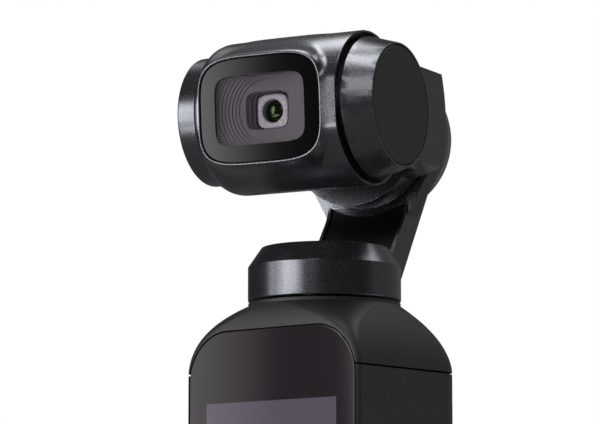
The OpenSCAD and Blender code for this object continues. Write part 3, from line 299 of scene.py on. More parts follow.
def bare_metal(name, hex_value, roughness=0.3, grain_mm=0.3):
    """Sheet, plated or machined metal with faint drawn marks."""
    material, tree, shader, place = new_material(name, Metallic=1.0, Roughness=roughness)
    grain = noise(tree, place, grain_mm, 3.0)
    tone = blend_colours(tree, grain, shade(hex_value, 0.85), shade(hex_value, 1.1))
    tree.links.new(tone, shader.inputs["Base Color"])
    rough = between(tree, grain, 0.3, 0.7, roughness - 0.05, roughness + 0.08)
    tree.links.new(rough, shader.inputs["Roughness"])
    return material


def matt_disc(name, hex_value):
    """Matt lacquer over a turned aluminium disc, nearly even in tone."""
    material, tree, shader, place = new_material(name, Metallic=0.25, Roughness=0.5)
    fine = noise(tree, place, 0.09, 2.0, 0.6)
    tone = blend_colours(tree, fine, shade(hex_value, 0.9), shade(hex_value, 1.12))
    tree.links.new(tone, shader.inputs["Base Color"])
    relief(tree, shader, fine, 0.004, 0.5)
    return material


def printed_glass(name, border_hex, display_sheen_hex, low, high):
    """Strengthened cover glass with a violet-black print behind it, open over the display, where a grey-violet
    painted reflection stands for the glass's sheen.
    """
    material, tree, shader, place = new_material(name, Roughness=0.05, IOR=1.5)
    parts = add_node(tree, "ShaderNodeSeparateXYZ", inputs={"Vector": place}).outputs
    edge = 0.05 * MM
    inside = between(tree, parts["X"], low.x - edge, low.x + edge, 0.0, 1.0)
    for axis, place_at, first in (("X", high.x, 1.0), ("Z", low.z, 0.0), ("Z", high.z, 1.0)):
        step = between(tree, parts[axis], place_at - edge, place_at + edge, first, 1.0 - first)
        inside = calculate(tree, "MULTIPLY", inside, step)
    # painted reflection: the display area takes the grey-violet sheen colour, the border takes the violet-black
    # print
    tone = blend_colours(tree, inside, linear(border_hex), linear(display_sheen_hex))
    tree.links.new(tone, shader.inputs["Base Color"])
    return material


def clear_glass(name, hex_value):
    """Thin window glass with an anti-reflection coat: nearly unseen, with a faint violet tint."""
    material, tree, shader, place = new_material(name, Roughness=0.03, IOR=1.5, Alpha=0.05)
    streak = noise(tree, place, 9.0)
    tone = blend_colours(tree, streak, linear(hex_value), shade(hex_value, 0.9))
    tree.links.new(tone, shader.inputs["Base Color"])
    return material


def black_glass(name, hex_value):
    """Polished glass with a black print on its back: a dark, even mirror."""
    material, tree, shader, place = new_material(
        name, Roughness=0.08, IOR=1.5, Specular_IOR_Level=0.3
    )
    streak = noise(tree, place, 6.0)
    tone = blend_colours(tree, streak, linear(hex_value), shade(hex_value, 1.5))
    tree.links.new(tone, shader.inputs["Base Color"])
    return material


def speckled_ring(name, hex_value):
    """Bead-blasted, silver-lacquered ring: pale, with a visible fine speckle."""
    material, tree, shader, place = new_material(name, Roughness=0.5, Metallic=0.3)
    fine = noise(tree, place, 0.2, 3.0, 0.8)
    speck = between(tree, fine, 0.4, 0.6, 0.0, 1.0)
    tone = blend_colours(tree, speck, shade(hex_value, 0.5), shade(hex_value, 1.2))
    tree.links.new(tone, shader.inputs["Base Color"])
    relief(tree, shader, fine, 0.02, 0.7)
    return material


def coated_lens(name):
    """Lens glass under a multi-layer coating: nearly black, with green-yellow reflections."""
    material, tree, shader, place = new_material(
        name, Roughness=0.04, IOR=1.9, Specular_IOR_Level=0.2
    )
    shader.inputs["Specular Tint"].default_value = linear("#c8d690")
    streak = noise(tree, place, 1.0)
    tone = blend_colours(tree, streak, linear("#0b1009"), linear("#16210f"))
    tree.links.new(tone, shader.inputs["Base Color"])
    return material


# Modelling with the mesh tools


def start_fresh():
    """Object mode with nothing selected."""
    if bpy.context.object and bpy.context.object.mode != "OBJECT":
        bpy.ops.object.mode_set(mode="OBJECT")
    bpy.ops.object.select_all(action="DESELECT")


def pick(piece):
    """Leaves only this piece selected and active."""
    start_fresh()
    piece.hide_viewport = False
    piece.select_set(True)
    bpy.context.view_layer.objects.active = piece


def apply_modifier(piece, kind, **settings):
    """Adds a modifier, sets it and applies it."""
    pick(piece)
    modifier = piece.modifiers.new(kind.lower(), kind)
    for key, value in settings.items():
        setattr(modifier, key, value)
    bpy.ops.object.modifier_apply(modifier=modifier.name)


def bevel(piece, width, segments, angle):
    """Rounds the edges that are sharper than an angle in degrees."""
    apply_modifier(
        piece, "BEVEL", width=width, segments=segments, limit_method="ANGLE",
        angle_limit=math.radians(angle), use_clamp_overlap=True,
    )


def finish_piece(piece, name, place, body, material, nodes=(), smooth=35):
    """Smooths a piece, lays it in its place in the row frame and fixes it to its body."""
    pick(piece)
    bpy.ops.object.shade_smooth_by_angle(angle=math.radians(smooth))
    piece.matrix_world = place
    bpy.ops.object.transform_apply(location=True, rotation=True, scale=True)
    apply_modifier(piece, "WEIGHTED_NORMAL", keep_sharp=True, weight=100)
    piece.name = name
    piece.data.name = name
    piece.data.materials.clear()
    piece.data.materials.append(material)
    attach(piece, body)
    if nodes:
        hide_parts(*nodes)


def clean(piece, gap=0.0005):
    """Merges doubles and points the faces outwards."""
    pick(piece)
    bpy.ops.object.mode_set(mode="EDIT")
    bpy.ops.mesh.select_all(action="SELECT")
    bpy.ops.mesh.remove_doubles(threshold=gap)
    bpy.ops.mesh.normals_make_consistent(inside=False)
    bpy.ops.object.mode_set(mode="OBJECT")


def turned(profile, steps=144):
    """A solid of revolution about Z from (radius, height) points, drawn as a chain and spun."""
    start_fresh()
    bpy.ops.mesh.primitive_plane_add(size=1)
    piece = bpy.context.object
    bpy.ops.object.mode_set(mode="EDIT")
    bpy.ops.mesh.select_all(action="SELECT")
    bpy.ops.mesh.merge(type="CENTER")
    radius, height = profile[0]
    bpy.ops.transform.translate(value=(radius, 0, height))
    for (r0, z0), (r1, z1) in zip(profile, profile[1:]):
        bpy.ops.mesh.extrude_region_move(
            TRANSFORM_OT_translate={"value": (r1 - r0, 0, z1 - z0)}
        )
    bpy.ops.mesh.select_all(action="SELECT")
    bpy.ops.mesh.spin(steps=steps, angle=2 * math.pi, center=(0, 0, 0), axis=(0, 0, 1))
    bpy.ops.object.mode_set(mode="OBJECT")
    clean(piece)
    return piece


def rounded(points, radius, steps=4):
    """A profile whose inner corners are rounded."""
    result = [points[0]]
    for before, corner, after in zip(points, points[1:], points[2:]):
        middle = Vector(corner)
        a = Vector(before) - middle
        b = Vector(after) - middle
        reach = min(radius / math.tan(a.angle(b) / 2), 0.49 * a.length, 0.49 * b.length)
        start = middle + a.normalized() * reach
        end = middle + b.normalized() * reach
        for i in range(steps + 1):
            t = i / steps
            result.append(tuple((1 - t) ** 2 * start + 2 * t * (1 - t) * middle + t ** 2 * end))
    result.append(points[-1])
    return result


def from_rings(rings, looped=False):
    """A surface through rings of points. Looped rings close on the first, and others are capped."""
    count = len(rings[0])
    points = [p for ring in rings for p in ring]
    faces = []
    for i in range(len(rings) if looped else len(rings) - 1):
        n = (i + 1) % len(rings)
        for j in range(count):
            k = (j + 1) % count
            faces.append((i * count + j, i * count + k, n * count + k, n * count + j))
    if not looped:
        faces.append(tuple(range(count))[::-1])
        faces.append(tuple((len(rings) - 1) * count + j for j in range(count)))
    mesh = bpy.data.meshes.new("surface")
    mesh.from_pydata(points, [], faces)
    piece = bpy.data.objects.new("surface", mesh)
    bpy.context.scene.collection.objects.link(piece)
    clean(piece)
    return piece


def cut_away(piece, cutter):
    """Takes one solid out of another and removes the cutter."""
    apply_modifier(piece, "BOOLEAN", object=cutter, operation="DIFFERENCE", solver="EXACT")
    bpy.data.objects.remove(cutter)


def cutter_box(low, high):
    """A cube between two corners, to cut with."""
    start_fresh()
    middle = [(a + b) / 2 for a, b in zip(low, high)]
    bpy.ops.mesh.primitive_cube_add(size=1, location=middle)
    box = bpy.context.object
    box.scale = [b - a for a, b in zip(low, high)]
    bpy.ops.object.transform_apply(location=True, rotation=True, scale=True)
    return box


def merged_copy(node):
    """A copy of a CAD node's mesh in millimetres, with its triangles merged into flat faces."""
    copy = bpy.data.objects.new(node + "_copy", frame["nodes"][node].data.copy())
    bpy.context.scene.collection.objects.link(copy)
    pick(copy)
    copy.scale = (1 / MM,) * 3
    bpy.ops.object.transform_apply(location=True, rotation=True, scale=True)
    bpy.ops.object.mode_set(mode="EDIT")
    bpy.ops.mesh.select_all(action="SELECT")
    bpy.ops.mesh.remove_doubles(threshold=0.001)
    bpy.ops.mesh.dissolve_limited(angle_limit=math.radians(0.5))
    bpy.ops.object.mode_set(mode="OBJECT")
    return copy


def softened(node, width, body, material, smooth=35):
    """A copy of a CAD node whose edges are rounded as the real piece's are."""
    piece = merged_copy(node)
    bevel(piece, width, 3, 28)
    clean(piece, 0.002)
    apply_modifier(piece, "TRIANGULATE", ngon_method="CLIP")
    finish_piece(
        piece, node + "_finished", HANDLE, body, bpy.data.materials[material], (node,), smooth,
    )


def dress(material, *nodes):
    """Gives CAD nodes that keep their shape their finish."""
    for node in nodes:
        slots = frame["nodes"][node].data.materials
        slots.clear()
        slots.append(material)


# The camera's shells, with lengths in millimetres

PARTING = 0.06  # from the parting plane to each shell's edge
TAPER = 0.9  # where the wall thins towards the right rim
SNOUT_BLEND = 0.45  # rounding between the barrel and the snout
FLAT_BLEND = 0.2  # rounding between the snout and the rim's flat
RIM_FADE = 1.3  # over which the skin rises from the rim to its own shape
WINDOW_PLAY = 0.16  # between the window glass and the hole for it
END_CAP = (8.4, 12.65, 0.35)  # radius, end along the tilt axis and rounding


def squared_oval(width, height, power, count):
    """Points of a squared oval in X and Z."""
    points = []
    for i in range(count):
        a = 2 * math.pi * i / count
        c, s = math.cos(a), math.sin(a)
        x = width / 2 * math.copysign(abs(c) ** (2 / power), c)
        z = height / 2 * math.copysign(abs(s) ** (2 / power), s)
        points.append((x, z))
    return points


def barrel_radius(shape, x):
    """Radius of the barrel, which rounds down to its left shoulder."""
    start = shape.shoulder_round - shape.shoulder_x
    if x >= start:
        return shape.barrel_r
    share = min(1.0, (start - x) / shape.shoulder_round)
    drop = 1 - math.sqrt(max(0.0, 1 - share * share))
    return shape.barrel_r - (shape.barrel_r - shape.shoulder_r) * drop


def snout_reach(shape, x, z):
    """How far ahead the cone between the rim and its foot on the barrel reaches at a place."""
    low, high = -0.5, 4.0
    rim_w = shape.window_w / 2 + shape.rim_w
    rim_h = shape.window_h / 2 + shape.rim_w
    power = shape.squareness
    for _ in range(30):
        t = (low + high) / 2
        a = rim_w + (shape.snout_w / 2 - rim_w) * t
        b = rim_h + (shape.snout_h / 2 - rim_h) * t
        if abs(x / a) ** power + abs(z / b) ** power > 1:
            low = t
        else:
            high = t
    return shape.front - (shape.front - shape.snout_back) * (low + high) / 2


def smooth_max(first, second, blend):
    """The larger of two values, rounded where they cross."""
    return 0.5 * (first + second + math.sqrt((first - second) ** 2 + blend * blend))


def front_depth(shape, x, z):
    """Depth of the front shell's skin at a place: barrel, snout and flat, blended smoothly."""
    radius = barrel_radius(shape, x)
    barrel = math.sqrt(max(0.0, radius * radius - z * z))
    skin = smooth_max(barrel, snout_reach(shape, x, z), SNOUT_BLEND)
    return -smooth_max(-skin, -shape.front, FLAT_BLEND)


def outline_target(shape, angle):
    """Where a ray from the window's centre meets the unrolled barrel's edge: X and turn."""
    left, right = -shape.shoulder_x, shape.rim_x
    c, s = math.cos(angle), math.sin(angle)
    reach = math.pi / 2 * shape.barrel_r
    across = (right if c > 0 else -left) / max(abs(c), 1e-9)
    along = reach / max(abs(s), 1e-9)
    length = min(across, along)
    return length * c, length * s / shape.barrel_r


def front_shell_rings(shape, count=288, steps=34):
    """Rings of the front shell's skin, from the window's rim out to the barrel's edges, as X,
    turn round the barrel and depth."""
    rim = squared_oval(
        shape.window_w + 2 * shape.rim_w, shape.window_h + 2 * shape.rim_w, shape.squareness, count
    )
    rings = []
    for step in range(steps + 1):
        share = (step / steps) ** 1.5
        ring = []
        for x_rim, z_rim in rim:
            turn_rim = math.asin(z_rim / barrel_radius(shape, x_rim))
            angle = math.atan2(turn_rim * shape.barrel_r, x_rim)
            x_far, turn_far = outline_target(shape, angle)
            x = x_rim + (x_far - x_rim) * share
            turn = turn_rim + (turn_far - turn_rim) * share
            radius = barrel_radius(shape, x)
            z = radius * math.sin(turn)
            skin = front_depth(shape, x, z)
            off = min(1.0, math.hypot(x - x_rim, z - z_rim) / RIM_FADE)
            fade = 1 - (1 - off) ** 2.2
            ring.append((x, turn, shape.front + (skin - shape.front) * fade))
        rings.append(ring)
    return rings


def wall_at(shape, x):
    """Wall of the shells, which thins to a quarter at the right rim."""
    return shape.wall * min(1.0, max(0.25, (shape.rim_x - x) / TAPER))


def place_skin(shape, x, turn, depth, inward):
    """A point of the skin, or of the wall's inner side, from its place on the barrel."""
    radius = barrel_radius(shape, x)
    wall = inward * wall_at(shape, x)
    x_in = max(x, -shape.shoulder_x + wall)
    share = max(0.0, 1 - wall / radius)
    z = radius * math.sin(turn) * share
    y = -max(PARTING, depth - wall * max(0.15, math.cos(turn)))
    return (x_in, y, z)


def front_shell_surface(shape):
    """The front shell: the window's lip, the skin and its inner side."""
    rings = front_shell_rings(shape)
    outer = [[place_skin(shape, x, t, d, 0.0) for x, t, d in ring] for ring in rings]
    inner = [[place_skin(shape, x, t, d, 1.0) for x, t, d in ring] for ring in rings]
    count = len(rings[0])
    hole = squared_oval(
        shape.window_w + WINDOW_PLAY, shape.window_h + WINDOW_PLAY, shape.squareness, count
    )
    lip = [[(x * g, -y, z * g) for x, z in hole] for g, y in (
        (1.0, shape.front - shape.wall),
        (1.0, shape.front - 0.09),
        (1.003, shape.front - 0.03),
        (1.01, shape.front),
    )]
    inner_start = [[(x * 1.05, -(shape.front - shape.wall), z * 1.05) for x, z in hole]]
    return from_rings(lip + outer + inner[::-1][:-1] + inner_start, looped=True)


def rear_shell_surface(shape, across=60, around=96):
    """Rings along the barrel, each an outer arc and an inner arc behind the parting plane."""
    rings = []
    places = [-shape.shoulder_x + shape.shoulder_round * (1 - math.cos(math.pi / 2 * i / 16))
              for i in range(17)]
    start = places[-1]
    places += [start + (shape.rim_x - start) * i / across for i in range(1, across + 1)]
    for x in places:
        radius = barrel_radius(shape, x)
        inner = radius - wall_at(shape, x)
        ring = []
        for r, order in ((radius, 1), (inner, -1)):
            for i in range(around + 1)[::order]:
                turn = math.pi * i / around
                y = max(PARTING, r * math.sin(turn))
                ring.append((x, y, r * math.cos(turn)))
        rings.append(ring)
    return from_rings(rings)


class GIMBAL_OT_shells(bpy.types.Operator):
    """Models the camera's front and rear shells and its left cap"""

    bl_idname = "gimbal.shells"
    bl_label = "Camera shells"

    def execute(self, context):
        shape = sizes("camera_shape")
        metal = bpy.data.materials["Charcoal coated alloy"]
        notch = ((shape.rim_x - 0.5, -0.5, -12), (shape.rim_x + 0.6, 0.0, 12))
        front = front_shell_surface(shape)
        cut_away(front, cutter_box(*notch))
        bevel(front, 0.07, 2, 50)
        finish_piece(
            front, "camera_front_shell", CAMERA, "camera", metal, ("front_shell",), 40,
        )
        rear = rear_shell_surface(shape)
        bevel(rear, 0.07, 2, 50)
        finish_piece(
            rear, "camera_rear_shell", CAMERA, "camera", metal, ("rear_shell",), 40,
        )
        radius, high, edge = END_CAP
        low = shape.shoulder_x + 0.02
        cap = turned(rounded([(0, high), (radius, high), (radius, low)], edge, 5) + [(0, low)])
        sideways = Matrix.Rotation(-math.pi / 2, 4, "Y")
        finish_piece(
            cap, "camera_end_cap", CAMERA @ sideways, "camera", metal, ("end_cap",), 35,
        )
        return {"FINISHED"}


# Window, baffle and lens, with lengths in millimetres

PANE = 0.35  # thickness of the window glass
OPENING = (12.9, 8.9, 6.5)  # width, height and power of the opening in the window's print
BAFFLE_GAP = 0.02  # from the glass to the baffle
BAFFLE_STEPS = (0.16, 0.42, 7.4, 9)  # depth, pitch, first radius and number of the round steps
BAFFLE_WELLS = ((6.2, 4.9, 0.75), (5.6, 4.75, 0.6), (4.9, 4.7, 1.3))  # width, height, depth


def oval_ring(width, height, power, y, inset=0.0):
    """A ring on a squared oval in X and Z, drawn in by an inset."""
    outline = squared_oval(width - 2 * inset, height - 2 * inset, power, 160)
    return [(x, y, z) for x, z in outline]


def oval_reach(width, height, power, angle):
    """Distance from the middle of a squared oval to its edge."""
    a, b = abs(math.cos(angle)) * 2 / width, abs(math.sin(angle)) * 2 / height
    return (a ** power + b ** power) ** (-1 / power)


class GIMBAL_OT_window(bpy.types.Operator):
    """Models the window's printed border and the clear glass inside it"""

    bl_idname = "gimbal.window"
    bl_label = "Window"

    def execute(self, context):
        shape = sizes("camera_shape")
        outside = (shape.window_w, shape.window_h, shape.squareness)
        front = -shape.glass_front
        back = front + PANE
        rings = [oval_ring(*outside, back)]
        for y, inset in ((front + 0.07, 0.0), (front + 0.02, 0.02), (front, 0.08)):
            rings.append(oval_ring(*outside, y, inset))
        rings += [oval_ring(*OPENING, front), oval_ring(*OPENING, back)]
        border = from_rings(rings, looped=True)
        finish_piece(
            border, "window_border", CAMERA, "camera", bpy.data.materials["Black printed glass"],
            ("window_glass",), 12,
        )
        edge = 0.002
        clear = from_rings([
            oval_ring(*OPENING, y, inset)
            for y, inset in ((back, edge), (back - edge, 0), (front + 2 * edge, 0),
                             (front + edge, edge))
        ])
        finish_piece(
            clear, "window_pane", CAMERA, "camera", bpy.data.materials["Coated window glass"],
            (), 30,
        )
        return {"FINISHED"}


def light_baffle(shape, count=192):
    """The baffle behind the print: round steps down to a floor, and a stepped well for the lens."""
    front = -shape.glass_front + PANE + BAFFLE_GAP
    step, pitch, first_r, steps = BAFFLE_STEPS
    angles = [2 * math.pi * i / count for i in range(count)]

    def ring(reach, y):
        return [(r * math.cos(a), y, r * math.sin(a)) for r, a in zip(reach, angles)]

    opening = [oval_reach(*OPENING, a) for a in angles]
    y = front + 0.3
    rings = [ring(opening, front), ring(opening, y)]
    for i in range(steps):
        reach = [min(r, first_r - i * pitch) for r in opening]
        rings.append(ring(reach, y))
        y += step
        rings.append(ring(reach, y))
    for width, height, depth in BAFFLE_WELLS:
        well = [oval_reach(width, height, 5.0, a) for a in angles]
        rings.append(ring(well, y))
        y += depth
        rings.append(ring(well, y))
    outer = [oval_reach(shape.window_w - 1.6, shape.window_h - 1.6, 4.2, a) for a in angles]
    rings += [ring(outer, y), ring(outer, front)]
    return from_rings(rings, looped=True)


class GIMBAL_OT_lens(bpy.types.Operator):
    """Models the stepped baffle and finishes the lens ring, the lens tube and the lenses"""

    bl_idname = "gimbal.lens"
    bl_label = "Lens"

    def execute(self, context):
        baffle = light_baffle(sizes("camera_shape"))
        bevel(baffle, 0.03, 2, 50)
        finish_piece(
            baffle, "light_baffle_finished", CAMERA, "camera",
            bpy.data.materials["Baffle plastic"], ("light_baffle",), 40,
        )
        pieces = (
            ("lens_surround", 0.18, "Lens ring lacquer", "lens_ring"),
            ("lens_barrel", 0.1, "Lens tube black", "lens_black"),
            ("lens_elements", 0.05, "Coated lens glass", "lens_glass"),
        )
        for node, width, material, slot in pieces:
            softened(node, width, "camera", material, 40)
        return {"FINISHED"}


# Gimbal


class GIMBAL_OT_gimbal(bpy.types.Operator):
    """Finishes the collar, the arm, the bracket and the motors' covers"""

    bl_idname = "gimbal.motors"
    bl_label = "Gimbal"

    def execute(self, context):
        metal = "Charcoal coated alloy"
        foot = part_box("pan_collar")[0].z / MM
        bore, ceiling = 8.75, 5.8
        corners = ((bore, 0), (9.95, 0), (9.95, 4.45), (8.2, 7.0), (0, 7.0), (0, ceiling),
                   (bore, ceiling))
        profile = rounded([(r, foot + z) for r, z in corners], 0.14, 3)
        collar = turned(profile + [(bore, foot)])
        cut_away(collar, merged_copy("pan_arm"))
        finish_piece(
            collar, "pan_collar_finished", HANDLE, "pan", bpy.data.materials[metal],
            ("pan_collar",), 30,
        )
        softened("pan_arm", 0.28, "pan", metal)
        # painted shade: the arm's front strip is made near-black to stand for the shade on the arm's front face
        softened("arm_cover", 0.1, "pan", "Black arm strip")
        softened("roll_cover", 0.15, "pan", metal)
        softened("roll_bracket", 0.22, "roll", metal)
        softened("tilt_cover", 0.1, "roll", "Matt motor disc")
        return {"FINISHED"}


# Handle


def handle_outline(side, front, back, front_r, rear_r, z, corner_steps=20):
    """A ring round the handle: half width, front and back places and its two corner radii."""
    centres = (
        (side - front_r, front - front_r, front_r, 0),
        (-side + front_r, front - front_r, front_r, 90),
        (-side + rear_r, -back + rear_r, rear_r, 180),
        (side - rear_r, -back + rear_r, rear_r, 270),
    )
    points = []
    for x, y, r, start in centres:
        for i in range(corner_steps + 1):
            a = math.radians(start + 90 * i / corner_steps)
            points.append((x + r * math.cos(a), -(y + r * math.sin(a)), z))
    return points


def shoulder_ring(shape, share):
    """One ring of the shoulder, which draws in from the handle's outline to the round neck."""
    draw = 1 - share ** 1.6
    half_d = shape.depth / 2
    side = shape.neck_r + (shape.width / 2 - shape.neck_r) * draw
    back = shape.neck_r + (half_d - shape.neck_r) * draw
    front = shape.neck_r + (half_d - shape.neck_r) * (1 - share ** 5)
    front_r = shape.front_r + (shape.neck_r - shape.front_r) * share ** 3
    rear_r = shape.rear_r + (shape.neck_r - shape.rear_r) * share ** 2.5
    z = shape.seam_z + (shape.neck_z - shape.seam_z) * share
    return handle_outline(side, front, back, front_r, rear_r, z)


def shoulder_cap(shape, steps=44):
    """The shoulder's skin, its neck, and the room inside with the tongue under the seam."""
    half_w, half_d = shape.width / 2, shape.depth / 2
    neck_top = shape.neck_z + shape.band
    ledge = shape.seam_z + 4.4
    rings = [shoulder_ring(shape, i / steps) for i in range(steps + 1)]

    bore, mouth = 8.6, 7.2
    tongue_foot = shape.seam_z - 1.45
    for r, z in ((shape.neck_r, neck_top), (bore, neck_top), (bore, ledge + 1),
                 (mouth, ledge + 1), (mouth, ledge)):
        rings.append(handle_outline(r, r, r, r, r, z))
    for inset, z in ((2.7, ledge), (2.2, tongue_foot), (1.4, tongue_foot), (1.4, shape.seam_z)):
        back = half_d - inset
        rings.append(handle_outline(half_w - inset, back - 0.9, back, 0.8, 2.4, z))
    return from_rings(rings, looped=True)


def glass_outline(shape, grow, steps=24):
    """The cover glass's outline in X and Z: wide round corners above, small ones below."""
    w = shape.glass_w / 2 + grow
    top = shape.glass_top + grow
    foot = shape.glass_foot - grow
    big, small = shape.glass_r + grow, 1.2 + grow
    points = []
    for x, z, r, start in ((w - big, top - big, big, 0), (big - w, top - big, big, 90),
                           (small - w, foot + small, small, 180),
                           (w - small, foot + small, small, 270)):
        for i in range(steps + 1):
            a = math.radians(start + 90 * i / steps)
            points.append((x + r * math.cos(a), z + r * math.sin(a)))
    return points


class GIMBAL_OT_handle(bpy.types.Operator):
    """Models the shoulder cap and the cover glass and finishes the handle's shells"""

    bl_idname = "gimbal.handle"
    bl_label = "Handle"

    def execute(self, context):
        shape = sizes("handle_shape")
        plastic = "Spark-grained nylon"
        face = -shape.depth / 2
        cap = shoulder_cap(shape)
        outline = glass_outline(shape, 0.12)
        cutter = from_rings(
            [[(x, y, z) for x, z in outline] for y in (face - 1.5, face + 1.1)]
        )
        cut_away(cap, cutter)
        bevel(cap, 0.1, 3, 40)
        finish_piece(
            cap, "shoulder_cap", HANDLE, "handle", bpy.data.materials[plastic], ("top_cap",), 35,
        )
        rings = []
        for inset, y in ((0.0, face + 0.9), (0.0, face + 0.18), (0.05, face + 0.06),
                         (0.18, face)):
            rings.append([(x, y, z) for x, z in glass_outline(shape, -inset)])
        glass = from_rings(rings)
        finish_piece(
            glass, "cover_glass", HANDLE, "handle", bpy.data.materials["Printed cover glass"],
            ("screen_glass",), 50,
        )
        softened("handle_shell", 0.1, "handle", plastic)
        softened("base_cap", 0.1, "handle", plastic)
        return {"FINISHED"}


class GIMBAL_OT_controls(bpy.types.Operator):
    """Finishes the buttons, the port's cover, the card and the status light"""

    bl_idname = "gimbal.controls"
    bl_label = "Controls"

    def execute(self, context):
        pieces = (
            ("record_button", 0.16, "record_button", "Button plastic", "button_plastic"),
            ("record_mark", 0.04, "record_button", "Red enamel mark", "red_mark"),
            ("function_button", 0.14, "function_button", "Button plastic", "button_plastic"),
            ("port_cover", 0.15, "port_cover", "Cover plastic", "cover_plastic"),
            ("memory_card", 0.08, "memory_card", "Card resin", "card_plastic"),
            ("status_light", 0.05, "handle", "Clear light pipe", "light_pipe"),
            ("usb_socket", 0.06, "handle", "Drawn sheet steel", "sheet_steel"),
        )
        for node, width, body, material, slot in pieces:
            softened(node, width, body, material)
        return {"FINISHED"}


# Materials of every piece


class GIMBAL_OT_finishes(bpy.types.Operator):
    """Makes the materials and gives the inner pieces theirs"""

    bl_idname = "gimbal.finishes"
    bl_label = "Finishes"

    def execute(self, context):
        colours = sizes("finish_colours")
        grained_metal("Charcoal coated alloy", colours.gimbal)
        matt_disc("Matt motor disc", colours.disc)
        moulded_plastic("Spark-grained nylon", colours.handle)
        # painted shade: near-black, darkened to stand for the shade on the front of the pan arm
        plain_plastic("Black arm strip", "#0a0a0b", 0.55, specular=0.2)
        plain_plastic("Button plastic", "#2b2b2d", 0.5, 0.16, 0.01)
        plain_plastic("Red enamel mark", "#b62020", 0.25)
        plain_plastic("Cover plastic", "#242426", 0.55, 0.2, 0.012)
        plain_plastic("Card resin", "#17181a", 0.5)
        plain_plastic("Clear light pipe", "#dfe8df", 0.2)
        plain_plastic("Baffle plastic", colours.baffle, 0.6, 0.12, 0.006)
        plain_plastic("Lens tube black", "#0c0c0d", 0.4)
        black_glass("Black printed glass", "#050405")
        speckled_ring("Lens ring lacquer", "#b8b0bd")
        coated_lens("Coated lens glass")
        clear_glass("Coated window glass", "#0c0a0c")
        low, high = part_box("display_panel")
        # the cover glass's display area gets the painted reflection colour, its border the print colour
        printed_glass("Printed cover glass", colours.glass, colours.display, low, high)
        bare_metal("Drawn sheet steel", "#b9bbbf", 0.28)
        inner = (
            (plain_plastic("Solder mask", "#1f5a3c", 0.35),
             ("main_board", "button_board", "sensor_board")),
            (plain_plastic("Chip resin", "#222326", 0.5), ("board_chips",)),
            (plain_plastic("Touch film", "#1c181c", 0.2), ("touch_film",)),
            (plain_plastic("Display stack", "#5c5462", 0.2), ("display_panel",)),
            (plain_plastic("Diffuser", "#d8d8d8", 0.5), ("display_backlight",)),
            (plain_plastic("Polyimide film", "#8a5a2c", 0.35), ("arm_flex",)),
            (plain_plastic("Sensor cover glass", "#2a2f3a", 0.1), ("image_sensor",)),
            (bare_metal("Battery pouch foil", "#3d4f5c", 0.4, 1.0), ("battery_cell",)),
            (bare_metal("Cast frame alloy", "#8a8c90", 0.45), ("inner_frame",)),
            (bare_metal("Copper sheet", "#b36b3c", 0.3),
             ("heat_spreader", "pan_coils", "roll_coils", "tilt_coils")),
            (bare_metal("Gold plate", "#c9a24a", 0.25), ("port_contacts", "microphones")),
            (bare_metal("Dark screw steel", "#55565a", 0.35), ("frame_screws", "arm_screws")),
            (bare_metal("Laminated steel", "#6d6f73", 0.4, 0.15),
             ("pan_stator", "roll_stator", "tilt_stator")),
            (bare_metal("Machined alloy", "#8a8c90", 0.3),
             ("pan_base", "pan_rotor", "tilt_rotor")),
            (bare_metal("Nickel plate", "#9a9ca0", 0.22),
             ("pan_magnets", "roll_magnets", "tilt_magnets", "filter_magnets")),
            (bpy.data.materials["Drawn sheet steel"],
             ("shield_can", "card_socket", "button_switches", "pan_bearings", "roll_bearings",
              "tilt_bearings")),
        )
        for material, nodes in inner:
            dress(material, *nodes)
        return {"FINISHED"}


# The stage

# The photograph's camera: widths in pixels, lengths in millimetres and angles in degrees
FRAME_W = 600
SENSOR = 36.0
FOCAL_PX = 2914.54
DISTANCE = 376.44
AZIMUTH = 39.122
EYE_Z = 47.16
PITCH = 8.040
YAW = 0.484

# Softboxes: azimuth and elevation in degrees, distance and size in metres, strength, softness of
# the edges, and the place they are aimed at, in millimetres along the tilt axis and up
SOFTBOXES = (
    ("softbox_left", -26.5, 8, 0.35, (0.12, 0.22), 7.0, 0.2, (0, 0)),
    ("softbox_low", -9, 4, 0.06, (0.042, 0.011), 6.5, 0.3, (0, -18.5)),
    ("softbox_rear", -75, 64, 0.06, (0.036, 0.04), 5.5, 0.35, (20, 0)),
    ("softbox_behind", -112, 50, 0.35, (0.2, 0.16), 1.0, 0.4, (-6, 0)),
    ("softbox_top", -10, 76, 0.22, (0.12, 0.19), 6.0, 0.3, (15, 0)),
    ("softbox_front", 18, 29, 0.35, (0.11, 0.32), 3.5, 0.4, (10, 0)),
    ("softbox_screen", -46, 4, 0.5, (0.12, 0.3), 2.5, 0.35, (0, 0)),
    ("softbox_back", 150, 55, 0.5, (0.3, 0.3), 4.0, 0.35, (0, 0)),
)
# Glow of the felt flags round the object, from the front and then every 45 degrees rightwards
FLAG_GLOWS = (0.03, 0.03, 0.03, 0.17, 0.17, 0.06, 0.03, 0.03)
FLAG_DISTANCE = 0.9
FLAG_SIZE = (0.76, 1.3)
TOP_GLOW = 0.03
FLOOR_GLOW = 0.12
LOW_GLOW = 0.9


def add_camera():
    """The camera of the photograph: low, at the front right, looking up at the head."""
    data = bpy.data.cameras.new("view")
    data.sensor_width = SENSOR
    data.lens = FOCAL_PX * SENSOR / FRAME_W
    data.clip_start = 0.05
    data.clip_end = 50
    camera = bpy.data.objects.new("view", data)
    bpy.context.scene.collection.objects.link(camera)
    side = math.radians(AZIMUTH)
    eye = Vector((DISTANCE * math.sin(side), -DISTANCE * math.cos(side), EYE_Z)) * MM
    camera.matrix_world = (
        Matrix.Translation(eye)
        @ Matrix.Rotation(math.radians(AZIMUTH + YAW), 4, "Z")
        @ Matrix.Rotation(math.radians(90 + PITCH), 4, "X")
    )
    bpy.context.scene.camera = camera


def direction(azimuth, elevation):
    """Unit vector towards an azimuth, counted from the front rightwards, and an elevation."""
    a, e = math.radians(azimuth), math.radians(elevation)
    return Vector((math.sin(a) * math.cos(e), -math.cos(a) * math.cos(e), math.sin(e)))


